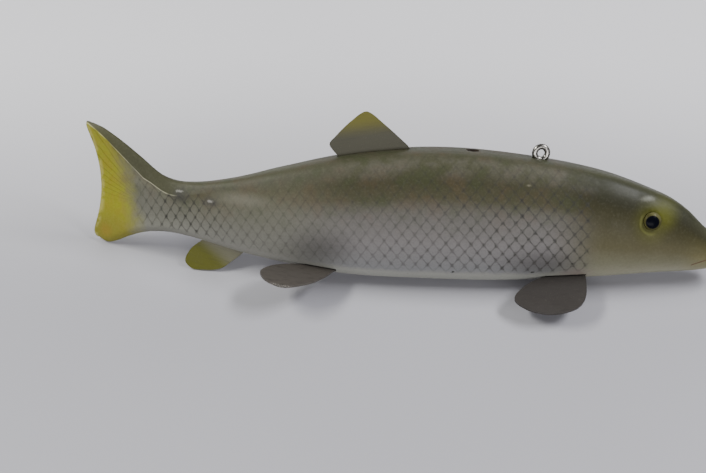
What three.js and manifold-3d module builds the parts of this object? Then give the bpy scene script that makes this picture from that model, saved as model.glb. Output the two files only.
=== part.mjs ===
import * as THREE from "three";
import { mergeVertices } from "three/addons/utils/BufferGeometryUtils.js";
import Module from "manifold-3d";

// Fish decoy in millimetres. In the fish's own frame the nose is at x = 0, the tail lies towards -x,
// +z is its back and +y its left side. It lies leaning towards its left.
const BODY_LENGTH = 256;
const BODY_DEPTH = 52.6;
const BODY_WIDTH = 34;
const NOSE_ROUND = 7;
const LEAN_DEG = 22;

// Body outline by share of the length from the nose, with back and belly as shares of the depth
const BODY_OUTLINE = [
  { at: 0.0, back: 0.3, belly: 0.17, width: 0.3 },
  { at: 0.05, back: 0.445, belly: 0.117, width: 0.46 },
  { at: 0.085, back: 0.597, belly: 0.098, width: 0.56 },
  { at: 0.12, back: 0.695, belly: 0.086, width: 0.66 },
  { at: 0.22, back: 0.865, belly: 0.042, width: 0.86 },
  { at: 0.36, back: 0.977, belly: 0.0, width: 0.99 },
  { at: 0.48, back: 1.006, belly: 0.0, width: 1.0 },
  { at: 0.6, back: 0.949, belly: 0.02, width: 0.9 },
  { at: 0.7, back: 0.839, belly: 0.092, width: 0.68 },
  { at: 0.78, back: 0.733, belly: 0.165, width: 0.46 },
  { at: 0.85, back: 0.679, belly: 0.245, width: 0.3 },
  { at: 0.88, back: 0.717, belly: 0.266, width: 0.25 },
  { at: 0.91, back: 0.869, belly: 0.252, width: 0.21 },
  { at: 0.94, back: 0.978, belly: 0.204, width: 0.17 },
  { at: 0.97, back: 1.056, belly: 0.138, width: 0.11 },
  { at: 0.985, back: 1.075, belly: 0.12, width: 0.085 },
  { at: 1.0, back: 1.09, belly: 0.15, width: 0.06 },
];
const SECTION_POWER = 2.15;
const BACK_FLATNESS = 0.023;
const BACK_FLAT_TO_DEG = 60;
const NOSE_START = 0.0006;
const RING_COUNT = 50;
const RING_SIDES = 32;
const RING_CROWDING = 0.7;

// Tail blade: curved to the left, hollowed between a round upper and lower rim, with a concave rear edge
const TAIL_CURVE = 20;
const TAIL_CURVE_START = 0.6;
const TAIL_CURVE_POWER = 2.3;
const TAIL_BLADE_START = 0.8;
const TAIL_BLADE_FULL = 0.92;
const TAIL_RIM_DEPTH = 4.6;
const TAIL_HOLLOW = 0.3;
const TAIL_REACH = 1.1;
const TAIL_UPPER_SWEEP = 5.4;
const TAIL_LOWER_SWEEP = 7.9;
const TAIL_LOWER_ROUNDING = 0.9;

// Sheet-metal fins, and the saw kerfs that hold their tabs
const FIN_THICKNESS = 0.8;
const FIN_CLEARANCE = 0.3;
const TAB_DEPTH = 5;
const CREASE_RADIUS = 1;
const CREASE_START = 1;
const FIN_COLUMNS = 6;
const FIN_ROWS = 10;
const TIP_SHARE = 0.998;

// Each fin's root length, reach out of the body, place along the body and round its section, bend at root,
// and outline from the root's front end to its rear end, as shares of the root and of the reach
const DORSAL_FIN = {
  root: 28.2,
  reach: 15.9,
  at: 0.563,
  angleDeg: 0,
  droopDeg: 0,
  outline: [
    [-0.515, 0], [-0.21, 0.61], [-0.01, 0.965], [0.057, 1],
    [0.28, 0.78], [0.498, 0.47], [0.592, 0.3], [0.5, 0],
  ],
};
const ANAL_FIN = {
  root: 18,
  reach: 12.6,
  at: 0.799,
  angleDeg: 180,
  droopDeg: -17,
  outline: [
    [-0.5, 0], [-0.31, 0.36], [-0.08, 0.74], [0.37, 0.97],
    [0.56, 1], [0.75, 0.83], [0.71, 0.42], [0.5, 0],
  ],
};
const PECTORAL_FIN = {
  root: 15.5,
  reach: 21.2,
  at: 0.2645,
  angleDeg: 152,
  droopDeg: 25,
  outline: [
    [-0.5, 0], [-0.46, 0.3], [-0.34, 0.64], [-0.04, 0.9], [0.45, 1],
    [1.05, 0.9], [1.4, 0.59], [1.06, 0.25], [0.5, 0],
  ],
};
const PELVIC_FIN = {
  root: 12,
  reach: 20.6,
  at: 0.6414,
  angleDeg: 152,
  droopDeg: 10,
  outline: [
    [-0.5, 0], [-0.18, 0.44], [0.35, 0.83], [0.95, 1], [1.5, 0.88],
    [1.8, 0.58], [1.55, 0.3], [1, 0.1], [0.5, 0],
  ],
};

// Screw eye that takes the line: ring and wire diameters, length of the shank, depth that the ring sits in
const LINE_TIE_AT = 0.3088;
const LINE_TIE_RING = 4.95;
const LINE_TIE_WIRE = 2.3;
const LINE_TIE_SHANK = 12;
const LINE_TIE_POINT = 3;
const LINE_TIE_SUNK = 1.4;
const LINE_TIE_CLEARANCE = 0.3;
const LINE_TIE_TURN_DEG = 6;

// Blind hole in the back
const BACK_HOLE_AT = 0.412;
const BACK_HOLE_DIAMETER = 5.2;
const BACK_HOLE_DEPTH = 6;

// Glass eyes in round sockets
const EYE_AT = 0.144;
const EYE_ANGLE_DEG = 70;
const EYE_DIAMETER = 7;
const EYE_DOME = 1.6;
const EYE_SEAT = 2.4;
const EYE_CLEARANCE = 0.3;

// Mouth line, a shallow groove across the front of the snout
const MOUTH_LENGTH = 20;
const MOUTH_DEPTH = 0.9;
const MOUTH_GAP = 0.8;
const MOUTH_CORNER_RISE = 3.3;
const MOUTH_PITCH_DEG = 17;

const PAINTED_WOOD = { color: 0x77746a, roughness: 0.35, metalness: 0 };
const PAINTED_TIN = { color: 0x57534c, roughness: 0.5, metalness: 0.2 };
const STEEL = { color: 0x8d8d8b, roughness: 0.3, metalness: 1 };
const EYE_GLASS = { color: 0x14161c, roughness: 0.05, metalness: 0 };

const radians = THREE.MathUtils.degToRad;
const { clamp, lerp, smoothstep } = THREE.MathUtils;
const SIDEWAYS = new THREE.Vector3(0, 1, 0);
const UPWARDS = new THREE.Vector3(0, 0, 1);
const wasm = await Module();
wasm.setup();

// Smooth curve through one column of the body outline
function outlineShare(column, at) {
  const rows = BODY_OUTLINE;
  const last = rows.length - 1;
  let i = 0;
  while (i < last - 1 && rows[i + 1].at < at) i += 1;
  const slope = (a, b) => (rows[b][column] - rows[a][column]) / (rows[b].at - rows[a].at);
  const tangent = (k) => slope(Math.max(k - 1, 0), Math.min(k + 1, last));
  const span = rows[i + 1].at - rows[i].at;
  const t = (at - rows[i].at) / span;
  const ends = lerp(rows[i][column], rows[i + 1][column], t * t * (3 - 2 * t));
  return ends + span * t * (1 - t) * ((1 - t) * tangent(i) - t * tangent(i + 1));
}

// Sideways place of the body's middle line
function middleLine(at) {
  return TAIL_CURVE * Math.max(0, (at - TAIL_CURVE_START) / (1 - TAIL_CURVE_START)) ** TAIL_CURVE_POWER;
}

// Section of the body at a station: half height, half width, height of its middle and share of blade in it
function sectionAt(at, inset = 0) {
  const rounding = Math.min(1, (at * BODY_LENGTH - inset) / NOSE_ROUND);
  const closing = Math.sqrt(Math.max(0, 1 - (1 - rounding) ** 2));
  const back = outlineShare("back", at) * BODY_DEPTH;
  const belly = outlineShare("belly", at) * BODY_DEPTH;
  return {
    tall: ((back - belly) / 2 - inset) * closing,
    wide: ((outlineShare("width", at) * BODY_WIDTH) / 2 - inset) * closing,
    middle: (back + belly) / 2,
    blade: smoothstep(at, TAIL_BLADE_START, TAIL_BLADE_FULL),
  };
}

// Half width of the blade at a height above its middle
function bladeHalfWidth(section, height) {
  const reach = Math.abs(height) / section.tall;
  const rim = Math.max(0.5, 1 - TAIL_RIM_DEPTH / section.tall);
  if (reach < rim) return section.wide * (1 - TAIL_HOLLOW * (1 - (reach / rim) ** 2));
  return section.wide * Math.sqrt(Math.max(0, 1 - ((reach - rim) / (1 - rim)) ** 2));
}

// Reach of the swept and rounded lobes past the fork, by share of the tail's half height
function tailSweep(share) {
  if (share > 0) return TAIL_UPPER_SWEEP * share ** 2;
  return TAIL_LOWER_SWEEP * share ** 2 * (1 - TAIL_LOWER_ROUNDING * share ** 6);
}

// Rise of the section's shoulders over its flattened back, as a share of the half height
function backFlattening(angle) {
  const turn = (Math.PI / 2) * Math.min(1, Math.abs(angle) / radians(BACK_FLAT_TO_DEG));
  return BACK_FLATNESS * (2 * Math.sin(2 * turn) ** 2 - Math.cos(turn) ** 2);
}

// Point on the body at a station and an angle round the section, from 0 on the back to 180 on the belly
function bodyPoint(at, degrees, inset = 0) {
  const section = sectionAt(at, inset);
  const angle = radians(degrees);
  const round = (value) => Math.sign(value) * Math.abs(value) ** (2 / SECTION_POWER);
  const turned = degrees > 180 ? angle - 2 * Math.PI : angle;
  const flattening = backFlattening(turned) * (1 - section.blade);
  const height = section.tall * (round(Math.cos(angle)) + flattening);
  const oval = section.wide * round(Math.sin(angle));
  const blade = Math.sign(Math.sin(angle)) * bladeHalfWidth(section, height);
  const share = section.tall > 0 ? height / section.tall : 0;
  const x = -at * BODY_LENGTH - (TAIL_REACH + tailSweep(share)) * section.blade ** 2;
  return new THREE.Vector3(x, middleLine(at) + lerp(oval, blade, section.blade), section.middle + height);
}

// Closed mesh through rings of points, with a fan over each end
function loft(rings) {
  const sides = rings[0].length;
  const positions = rings.flat().flatMap((point) => point.toArray());
  const faces = [];
  for (let ring = 0; ring < rings.length - 1; ring += 1) {
    for (let side = 0; side < sides; side += 1) {
      const a = ring * sides + side;
      const b = ring * sides + ((side + 1) % sides);
      faces.push(a, b, a + sides, b, b + sides, a + sides);
    }
  }
  for (const ring of [0, rings.length - 1]) {
    const hub = positions.length / 3;
    const middle = new THREE.Vector3();
    rings[ring].forEach((point) => middle.addScaledVector(point, 1 / sides));
    positions.push(...middle.toArray());
    for (let side = 0; side < sides; side += 1) {
      const a = ring * sides + side;
      const b = ring * sides + ((side + 1) % sides);
      faces.push(hub, ...(ring === 0 ? [b, a] : [a, b]));
    }
  }
  const geometry = new THREE.BufferGeometry();
  geometry.setAttribute("position", new THREE.Float32BufferAttribute(positions, 3));
  geometry.setIndex(faces);
  return geometry;
}

// Solid of a closed mesh, for joining and cutting
function solidOf(geometry) {
  const bare = geometry.clone();
  bare.deleteAttribute("normal");
  bare.deleteAttribute("uv");
  const merged = mergeVertices(bare, 1e-4);
  const vertProperties = new Float32Array(merged.attributes.position.array);
  const triVerts = new Uint32Array(merged.index.array);
  return new wasm.Manifold(new wasm.Mesh({ numProp: 3, vertProperties, triVerts }));
}

// Mesh geometry of a solid
function geometryOf(solid) {
  const mesh = solid.getMesh();
  const geometry = new THREE.BufferGeometry();
  geometry.setAttribute("position", new THREE.BufferAttribute(new Float32Array(mesh.vertProperties), 3));
  geometry.setIndex([...mesh.triVerts]);
  return geometry;
}

// Rings round the body from one station to another, closer together towards both ends
function bodyRings(from, to, count, inset = 0) {
  const rings = [];
  for (let ring = 0; ring <= count; ring += 1) {
    const share = ring / count;
    const at = lerp(from, to, lerp(share, (1 - Math.cos(share * Math.PI)) / 2, RING_CROWDING));
    const angles = Array.from({ length: RING_SIDES }, (_, side) => (side / RING_SIDES) * 360);
    rings.push(angles.map((degrees) => bodyPoint(at, degrees, inset)));
  }
  return rings;
}

// Frame on the body's surface: a point, the way rearwards along the surface and the way out of it
function surfaceFrame(at, degrees) {
  const step = 0.01;
  const origin = bodyPoint(at, degrees);
  const along = bodyPoint(at + step, degrees).sub(bodyPoint(at - step, degrees)).normalize();
  return { origin, along };
}

// Whether a fin grows from the side of the body, and not from its back or belly line
function isLevel(fin) {
  return fin.angleDeg > 0 && fin.angleDeg < 180;
}

// Frame of a fin's root. A fin on the middle line stands up or down, a side fin lies level
function finFrame(fin, side) {
  const { origin, along } = surfaceFrame(fin.at, fin.angleDeg * side);
  const level = isLevel(fin);
  const upright = UPWARDS.clone().multiplyScalar(fin.angleDeg > 0 ? -1 : 1);
  const out = level ? SIDEWAYS.clone().multiplyScalar(side) : upright;
  out.addScaledVector(along, -out.dot(along)).normalize();
  const mirrored = level && side > 0;
  const face = new THREE.Vector3().crossVectors(along, out).multiplyScalar(mirrored ? -1 : 1);
  return { origin, along, out, face, mirrored };
}

// Point of a fin: distance along its root, out of the body and off its middle sheet, bent down by an angle
function finPoint(frame, bend, along, out, off) {
  const crease = Math.abs(bend) * CREASE_RADIUS;
  const turned = crease > 0 ? bend * clamp((out - CREASE_START) / crease, 0, 1) : 0;
  const before = Math.min(out, CREASE_START);
  const after = Math.max(0, out - CREASE_START - crease);
  const outwards = before + CREASE_RADIUS * Math.sin(Math.abs(turned)) + after * Math.cos(turned);
  const upwards = -Math.sign(bend) * CREASE_RADIUS * (1 - Math.cos(turned)) - after * Math.sin(turned);
  return frame.origin
    .clone()
    .addScaledVector(frame.along, along)
    .addScaledVector(frame.out, outwards + off * Math.sin(turned))
    .addScaledVector(frame.face, upwards + off * Math.cos(turned));
}

// Ends of a fin at each of its rows, from the foot of the tab to the tip
function finRows(fin, bend) {
  const knots = fin.outline.map(([along, out]) => new THREE.Vector3(along * fin.root, out * fin.reach, 0));
  const edge = new THREE.CatmullRomCurve3(knots, false, "centripetal").getPoints(160);
  const tip = Math.max(...edge.map((point) => point.y));
  const rows = [-TAB_DEPTH, 0].map((out) => ({ out, from: -fin.root / 2, to: fin.root / 2 }));
  const crease = Math.abs(bend) * CREASE_RADIUS;
  const creaseSteps = [0, 1, 2, 3].map((step) => CREASE_START + (crease * step) / 3);
  const start = CREASE_START + crease;
  const bladeSteps = Array.from({ length: FIN_ROWS }, (_, row) => {
    return lerp(start, tip * TIP_SHARE, Math.sin((((row + 1) / FIN_ROWS) * Math.PI) / 2));
  });
  for (const out of [...(crease > 0 ? creaseSteps : [CREASE_START]), ...bladeSteps]) {
    const crossings = [];
    for (let i = 0; i < edge.length - 1; i += 1) {
      const [a, b] = [edge[i], edge[i + 1]];
      if (a.y > out !== b.y > out) crossings.push(lerp(a.x, b.x, (out - a.y) / (b.y - a.y)));
    }
    rows.push({ out, from: Math.min(...crossings), to: Math.max(...crossings) });
  }
  return rows;
}

// Sheet of a fin, as a loft whose rings run over its upper face and back under it
function finGeometry(fin, frame, bend) {
  const half = FIN_THICKNESS / 2;
  const rings = finRows(fin, bend).map(({ out, from, to }) => {
    const ring = [];
    for (const [off, first, last] of [[half, from, to], [-half, to, from]]) {
      for (let column = 0; column <= FIN_COLUMNS; column += 1) {
        ring.push(finPoint(frame, bend, lerp(first, last, column / FIN_COLUMNS), out, off));
      }
    }
    return frame.mirrored ? ring.reverse() : ring;
  });
  return loft(rings);
}

// Saw kerf for a fin's tab, reaching out past the surface
function kerfGeometry(fin, frame) {
  const length = fin.root + 2 * FIN_CLEARANCE;
  const deep = TAB_DEPTH + FIN_CLEARANCE;
  const box = new THREE.BoxGeometry(length, 2 * deep, FIN_THICKNESS + 2 * FIN_CLEARANCE);
  const across = new THREE.Vector3().crossVectors(frame.along, frame.out);
  const placing = new THREE.Matrix4().makeBasis(frame.along, frame.out, across).setPosition(frame.origin);
  return box.applyMatrix4(placing);
}

// Height of a point above the surface that the leaning fish lies on, from the middle of its lean
function leaningHeight(point) {
  return point.z * Math.cos(radians(LEAN_DEG)) - point.y * Math.sin(radians(LEAN_DEG));
}

// Bend of a fin on the lower side that just lets its blade rest level with the belly
function restingBend(fin, frame, floor) {
  const lowest = (bend) => {
    const rows = finRows(fin, bend).filter((row) => row.out > 0);
    const corners = rows.flatMap(({ out, from, to }) => [[from, out], [to, out]]);
    const points = corners.map(([along, out]) => finPoint(frame, bend, along, out, -FIN_THICKNESS / 2));
    return Math.min(...points.map(leaningHeight));
  };
  let [raised, lowered] = [radians(-60), radians(60)];
  for (let step = 0; step < 30; step += 1) {
    const middle = (raised + lowered) / 2;
    if (lowest(middle) > floor) raised = middle;
    else lowered = middle;
  }
  return raised;
}

// Screw eye on a pointed shank, its ring round the origin in the xz plane, grown by a clearance for a cut
function lineTieGeometry(grown = 0) {
  const wire = LINE_TIE_WIRE / 2 + grown;
  const ring = new THREE.TorusGeometry(LINE_TIE_RING / 2, wire, 10, 20).rotateX(Math.PI / 2);
  const top = -LINE_TIE_RING / 2;
  const foot = top - LINE_TIE_WIRE / 2 - LINE_TIE_SHANK;
  const profile = [[0, foot - grown], [wire, foot + LINE_TIE_POINT - grown], [wire, top], [0, top]];
  const shank = new THREE.LatheGeometry(profile.map(([x, y]) => new THREE.Vector2(x, y)), 12);
  shank.rotateX(Math.PI / 2);
  return geometryOf(solidOf(ring).add(solidOf(shank)));
}

// Glass eye facing +z with its rim round the origin, grown by a clearance for a cut
function eyeGeometry(grown = 0) {
  const radius = EYE_DIAMETER / 2 + grown;
  const steps = 6;
  const profile = [new THREE.Vector2(0, -EYE_SEAT - grown), new THREE.Vector2(radius, -EYE_SEAT - grown)];
  for (let step = 0; step <= steps; step += 1) {
    const angle = (step / steps) * (Math.PI / 2);
    const x = step === steps ? 0 : radius * Math.cos(angle);
    profile.push(new THREE.Vector2(x, (EYE_DOME + grown) * Math.sin(angle)));
  }
  return new THREE.LatheGeometry(profile, 24).rotateX(Math.PI / 2);
}

// Named mesh of the fish
function piece(name, geometry, finish) {
  const mesh = new THREE.Mesh(geometry, new THREE.MeshStandardMaterial(finish));
  mesh.name = name;
  mesh.geometry.computeVertexNormals();
  return mesh;
}

// Screw eye and its socket, upright on the back and turned a little
const lineTie = piece("line_tie", lineTieGeometry(), STEEL);
const lineTieFoot = bodyPoint(LINE_TIE_AT, 0);
lineTie.position.copy(lineTieFoot);
lineTie.position.z += (LINE_TIE_RING + LINE_TIE_WIRE) / 2 - LINE_TIE_SUNK;
lineTie.rotation.z = radians(LINE_TIE_TURN_DEG);
lineTie.updateMatrix();
const cuts = [lineTieGeometry(LINE_TIE_CLEARANCE).applyMatrix4(lineTie.matrix)];

// Blind hole, square to the back
const holeFrame = surfaceFrame(BACK_HOLE_AT, 0);
const holeRadius = BACK_HOLE_DIAMETER / 2;
const hole = new THREE.CylinderGeometry(holeRadius, holeRadius, 2 * BACK_HOLE_DEPTH, 20);
cuts.push(hole.rotateX(Math.PI / 2).translate(...holeFrame.origin.toArray()));

// Eyes and their sockets, facing square out of the head
const eyes = [["eye_right", -1], ["eye_left", 1]].map(([name, side]) => {
  const degrees = EYE_ANGLE_DEG * side;
  const { origin, along } = surfaceFrame(EYE_AT, degrees);
  const step = 5;
  const around = bodyPoint(EYE_AT, degrees + step).sub(bodyPoint(EYE_AT, degrees - step));
  const facing = new THREE.Vector3().crossVectors(around, along).normalize();
  const eye = piece(name, eyeGeometry(), EYE_GLASS);
  eye.position.copy(origin);
  eye.quaternion.setFromUnitVectors(UPWARDS, facing);
  eye.updateMatrix();
  cuts.push(eyeGeometry(EYE_CLEARANCE).applyMatrix4(eye.matrix));
  return eye;
});

// Mouth groove: a thin tilted slab, kept to the skin of the snout
const mouthCorner = bodyPoint(MOUTH_LENGTH / BODY_LENGTH, 180);
mouthCorner.z += MOUTH_CORNER_RISE;
const slab = new THREE.BoxGeometry(2 * MOUTH_LENGTH, BODY_WIDTH, MOUTH_GAP).translate(MOUTH_LENGTH, 0, 0);
slab.rotateY(-radians(MOUTH_PITCH_DEG)).translate(...mouthCorner.toArray());
const coreStart = (MOUTH_DEPTH * 1.1) / BODY_LENGTH;
const coreEnd = (2 * MOUTH_LENGTH) / BODY_LENGTH;
const snoutCore = loft(bodyRings(coreStart, coreEnd, 14, MOUTH_DEPTH));
cuts.push(geometryOf(solidOf(slab).subtract(solidOf(snoutCore))));

// Bare body, and the height of the surface it lies on
const blankRings = bodyRings(NOSE_START, 1, RING_COUNT);
const floor = Math.min(...blankRings.flat().map(leaningHeight));

// Fins in their kerfs. Those on the upper side droop, and those on the lower side lie on the surface
const fins = [
  ["dorsal_fin", DORSAL_FIN, 1],
  ["anal_fin", ANAL_FIN, 1],
  ["pectoral_fin_right", PECTORAL_FIN, -1],
  ["pectoral_fin_left", PECTORAL_FIN, 1],
  ["pelvic_fin_right", PELVIC_FIN, -1],
  ["pelvic_fin_left", PELVIC_FIN, 1],
].map(([name, fin, side]) => {
  const frame = finFrame(fin, side);
  const bend = isLevel(fin) && side > 0 ? restingBend(fin, frame, floor) : radians(fin.droopDeg);
  cuts.push(kerfGeometry(fin, frame));
  return piece(name, geometryOf(solidOf(finGeometry(fin, frame, bend))), PAINTED_TIN);
});

// Carved body with every kerf, socket, hole and groove cut
const carved = cuts.reduce((solid, cut) => solid.subtract(solidOf(cut)), solidOf(loft(blankRings)));
const body = piece("body", geometryOf(carved), PAINTED_WOOD);

// The fish leans on its left side, and stands centred on the surface
const fish = new THREE.Group();
fish.add(body, ...fins, lineTie, ...eyes);
fish.rotation.x = -radians(LEAN_DEG);
const decoy = new THREE.Group();
decoy.add(fish);
const extent = new THREE.Box3().setFromObject(decoy, true);
const centre = extent.getCenter(new THREE.Vector3());
fish.position.set(-centre.x, -centre.y, -extent.min.z);

export default decoy;
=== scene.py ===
"""Fish decoy on a pale table: carved and painted wood, sheet-metal fins, glass eyes and a screw eye."""

import logging
import math
from contextlib import contextmanager
from dataclasses import dataclass
from enum import Enum
from typing import Any, Callable, Iterator, Sequence, Union

import bpy
from mathutils import Matrix, Vector


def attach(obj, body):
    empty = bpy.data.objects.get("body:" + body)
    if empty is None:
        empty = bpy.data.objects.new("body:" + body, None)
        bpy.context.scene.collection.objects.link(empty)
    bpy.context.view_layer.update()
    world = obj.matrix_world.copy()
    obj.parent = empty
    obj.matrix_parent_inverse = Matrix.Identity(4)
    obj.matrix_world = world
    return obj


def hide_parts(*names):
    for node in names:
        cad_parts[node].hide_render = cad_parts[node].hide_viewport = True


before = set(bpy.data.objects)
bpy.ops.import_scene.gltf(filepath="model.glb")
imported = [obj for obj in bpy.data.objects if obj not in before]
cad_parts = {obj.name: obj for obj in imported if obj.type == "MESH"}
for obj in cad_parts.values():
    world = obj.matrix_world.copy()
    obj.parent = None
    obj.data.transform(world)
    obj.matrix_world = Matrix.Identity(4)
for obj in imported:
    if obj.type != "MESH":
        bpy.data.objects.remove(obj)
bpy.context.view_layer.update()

log = logging.getLogger("fish_decoy")

MM = 0.001
LEAN = math.radians(22)
FISH_ORIGIN = Vector((131.33, -6.54, 1.33))
FISH_TO_TABLE = (
    Matrix.Scale(MM, 4) @ Matrix.Translation(FISH_ORIGIN) @ Matrix.Rotation(-LEAN, 4, "X")
)
PHOTO_WIDTH = 706
RIDGE_TURN = 45.0

Triple = tuple[float, float, float]
RGB = Triple
Pair = tuple[float, float]
Stops = tuple[tuple[float, RGB], ...]
Value = Union["Sock", float]
Piece = bpy.types.Object
Material = bpy.types.Material


class Side(Enum):
    """Side of the fish, as the sign of its y."""

    RIGHT = -1
    LEFT = 1


# Numbers


def blend(low: float, high: float, share: float) -> float:
    """Number a share of the way from low to high."""
    return low + (high - low) * share


def ease(value: float, start: float, end: float) -> float:
    """Smooth step from 0 at start to 1 at end, whichever is larger."""
    t = min(1.0, max(0.0, (value - start) / (end - start)))
    return t * t * (3 - 2 * t)


def halve(start: float, end: float, passes: Callable[[float], bool], steps: int = 30) -> float:
    """Closes in from start on the last value that passes a test, by halving the span.

    Args:
        start: Value that passes.
        end: Value that doesn't.
        passes: The test.
        steps: How often the span is halved.

    Returns:
        The value.
    """
    for _ in range(steps):
        middle = (start + end) / 2
        if passes(middle):
            start = middle
        else:
            end = middle
    return start


def tone(red: float, green: float, blue: float) -> tuple[float, float, float, float]:
    """Scene-linear colour of an 8-bit colour.

    Args:
        red: Red from 0 to 255.
        green: Green from 0 to 255.
        blue: Blue from 0 to 255.

    Returns:
        The colour as a shader socket takes it.
    """
    parts = [v / 255 for v in (red, green, blue)]
    linear = [v / 12.92 if v <= 0.04045 else ((v + 0.055) / 1.055) ** 2.4 for v in parts]
    return (*linear, 1.0)


# Modelling by hand


def put_down_everything() -> None:
    """Deselects every object."""
    bpy.ops.object.select_all(action="DESELECT")


def take(piece: Piece) -> None:
    """Selects one piece alone and makes it active."""
    put_down_everything()
    piece.select_set(True)
    bpy.context.view_layer.objects.active = piece


def name_new(name: str) -> Piece:
    """Names the object that an operator has just added, and its mesh."""
    piece = bpy.context.object
    piece.name = name
    piece.data.name = name
    return piece


def set_cutter(name: str, place: Matrix) -> Piece:
    """Names the object that an operator has just added, and moves its mesh to where it cuts."""
    cutter = name_new(name)
    cutter.data.transform(place)
    return cutter


@contextmanager
def bench(piece: Piece) -> Iterator[None]:
    """Holds a piece in edit mode for the operators inside the with block."""
    take(piece)
    bpy.ops.object.mode_set(mode="EDIT")
    try:
        yield
    finally:
        bpy.ops.object.mode_set(mode="OBJECT")


def pick(piece: Piece, mode: str, wanted: Callable[[Any], bool]) -> None:
    """Selects the vertices, edges or faces of a piece that pass a test.

    Args:
        piece: The mesh object, in object mode.
        mode: VERT, EDGE or FACE.
        wanted: Test of one vertex, edge or polygon.
    """
    mesh = piece.data
    with bench(piece):
        bpy.ops.mesh.select_mode(type=mode)
        bpy.ops.mesh.select_all(action="DESELECT")
    for part in {"VERT": mesh.vertices, "EDGE": mesh.edges, "FACE": mesh.polygons}[mode]:
        part.select = wanted(part)


def apply_modifier(piece: Piece, kind: str, **settings: Any) -> None:
    """Adds a modifier to a piece, sets it and applies it."""
    take(piece)
    modifier = piece.modifiers.new(kind.title(), kind)
    for name, value in settings.items():
        setattr(modifier, name, value)
    bpy.ops.object.modifier_apply(modifier=modifier.name)


def soften(piece: Piece, degrees: float) -> None:
    """Shades a piece smooth, with edges sharper than an angle kept crisp."""
    take(piece)
    bpy.ops.object.shade_smooth_by_angle(angle=math.radians(degrees))


def bevel(piece: Piece, width: float, degrees: float) -> None:
    """Rounds the edges of a piece that are sharper than an angle."""
    apply_modifier(
        piece, "BEVEL", width=width, segments=2, limit_method="ANGLE", angle_limit=math.radians(degrees)
    )


def tube(
    name: str, path: Sequence[tuple[Vector, float]], radius: float, resolution: int
) -> Piece:
    """Round bar along a path, closed at both ends.

    Args:
        name: Its name.
        path: Points on its middle line, each with its girth as a share of the radius.
        radius: Its radius.
        resolution: How finely it is rounded.

    Returns:
        The bar as a mesh.
    """
    put_down_everything()
    bpy.ops.curve.primitive_nurbs_path_add()
    bar = name_new(name)
    curve = bar.data
    curve.splines.clear()
    spline = curve.splines.new("POLY")
    spline.points.add(len(path) - 1)
    for point, (place, girth) in zip(spline.points, path):
        point.co = (*place, 1)
        point.radius = girth
    curve.bevel_depth = radius
    curve.bevel_resolution = resolution
    curve.use_fill_caps = True
    take(bar)
    bpy.ops.object.convert(target="MESH")
    bar.data.name = name
    return bar


def face_outwards(piece: Piece) -> None:
    """Merges doubled vertices of a closed piece and turns its faces outwards."""
    with bench(piece):
        bpy.ops.mesh.select_all(action="SELECT")
        bpy.ops.mesh.remove_doubles(threshold=0.00001)
        bpy.ops.mesh.normals_make_consistent(inside=False)


def coat(piece: Piece, finish: Material) -> None:
    """Gives a piece one finish."""
    piece.data.materials.clear()
    piece.data.materials.append(finish)


def hand_over(piece: Piece, slot: str, *nodes: str) -> None:
    """Puts a finished piece on the root body in place of its CAD nodes."""
    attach(piece, "root")
    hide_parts(*nodes)
    places = [vertex.co / MM for vertex in piece.data.vertices]
    low, high = ([round(end(place[i] for place in places), 2) for i in range(3)] for end in (min, max))
    log.info("%s: %d faces, %s to %s", piece.name, len(piece.data.polygons), low, high)


# Shader maths


def maths(operation: str, flipped: bool = False) -> Callable[..., "Sock"]:
    """Method of a shader number that adds a Math node.

    Args:
        operation: What the node does.
        flipped: Whether the number itself comes last.

    Returns:
        The method.
    """

    def method(self: "Sock", *others: Value) -> "Sock":
        """Adds the node on this number and the others."""
        values = (*others, self) if flipped else (self, *others)
        return self.board.math(operation, *values)

    return method


class Sock:
    """Number that comes out of a shader node, with arithmetic that adds Math nodes."""

    __add__ = __radd__ = maths("ADD")
    __mul__ = __rmul__ = maths("MULTIPLY")
    __sub__, __rsub__ = maths("SUBTRACT"), maths("SUBTRACT", flipped=True)
    __truediv__, __pow__ = maths("DIVIDE"), maths("POWER")
    __abs__, fraction = maths("ABSOLUTE"), maths("FRACT")

    def __init__(self, board: "Board", socket: bpy.types.NodeSocket) -> None:
        """Wraps one output socket of a board."""
        self.board = board
        self.socket = socket

    def rise(self, start: float, end: float) -> "Sock":
        """Smooth step from 0 at start to 1 at end, whichever is larger."""
        settings = {"interpolation_type": "SMOOTHSTEP"}
        if start < end:
            return self.board.add("ShaderNodeMapRange", settings, {0: self, 1: start, 2: end})[0]
        return 1 - self.rise(end, start)


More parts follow.
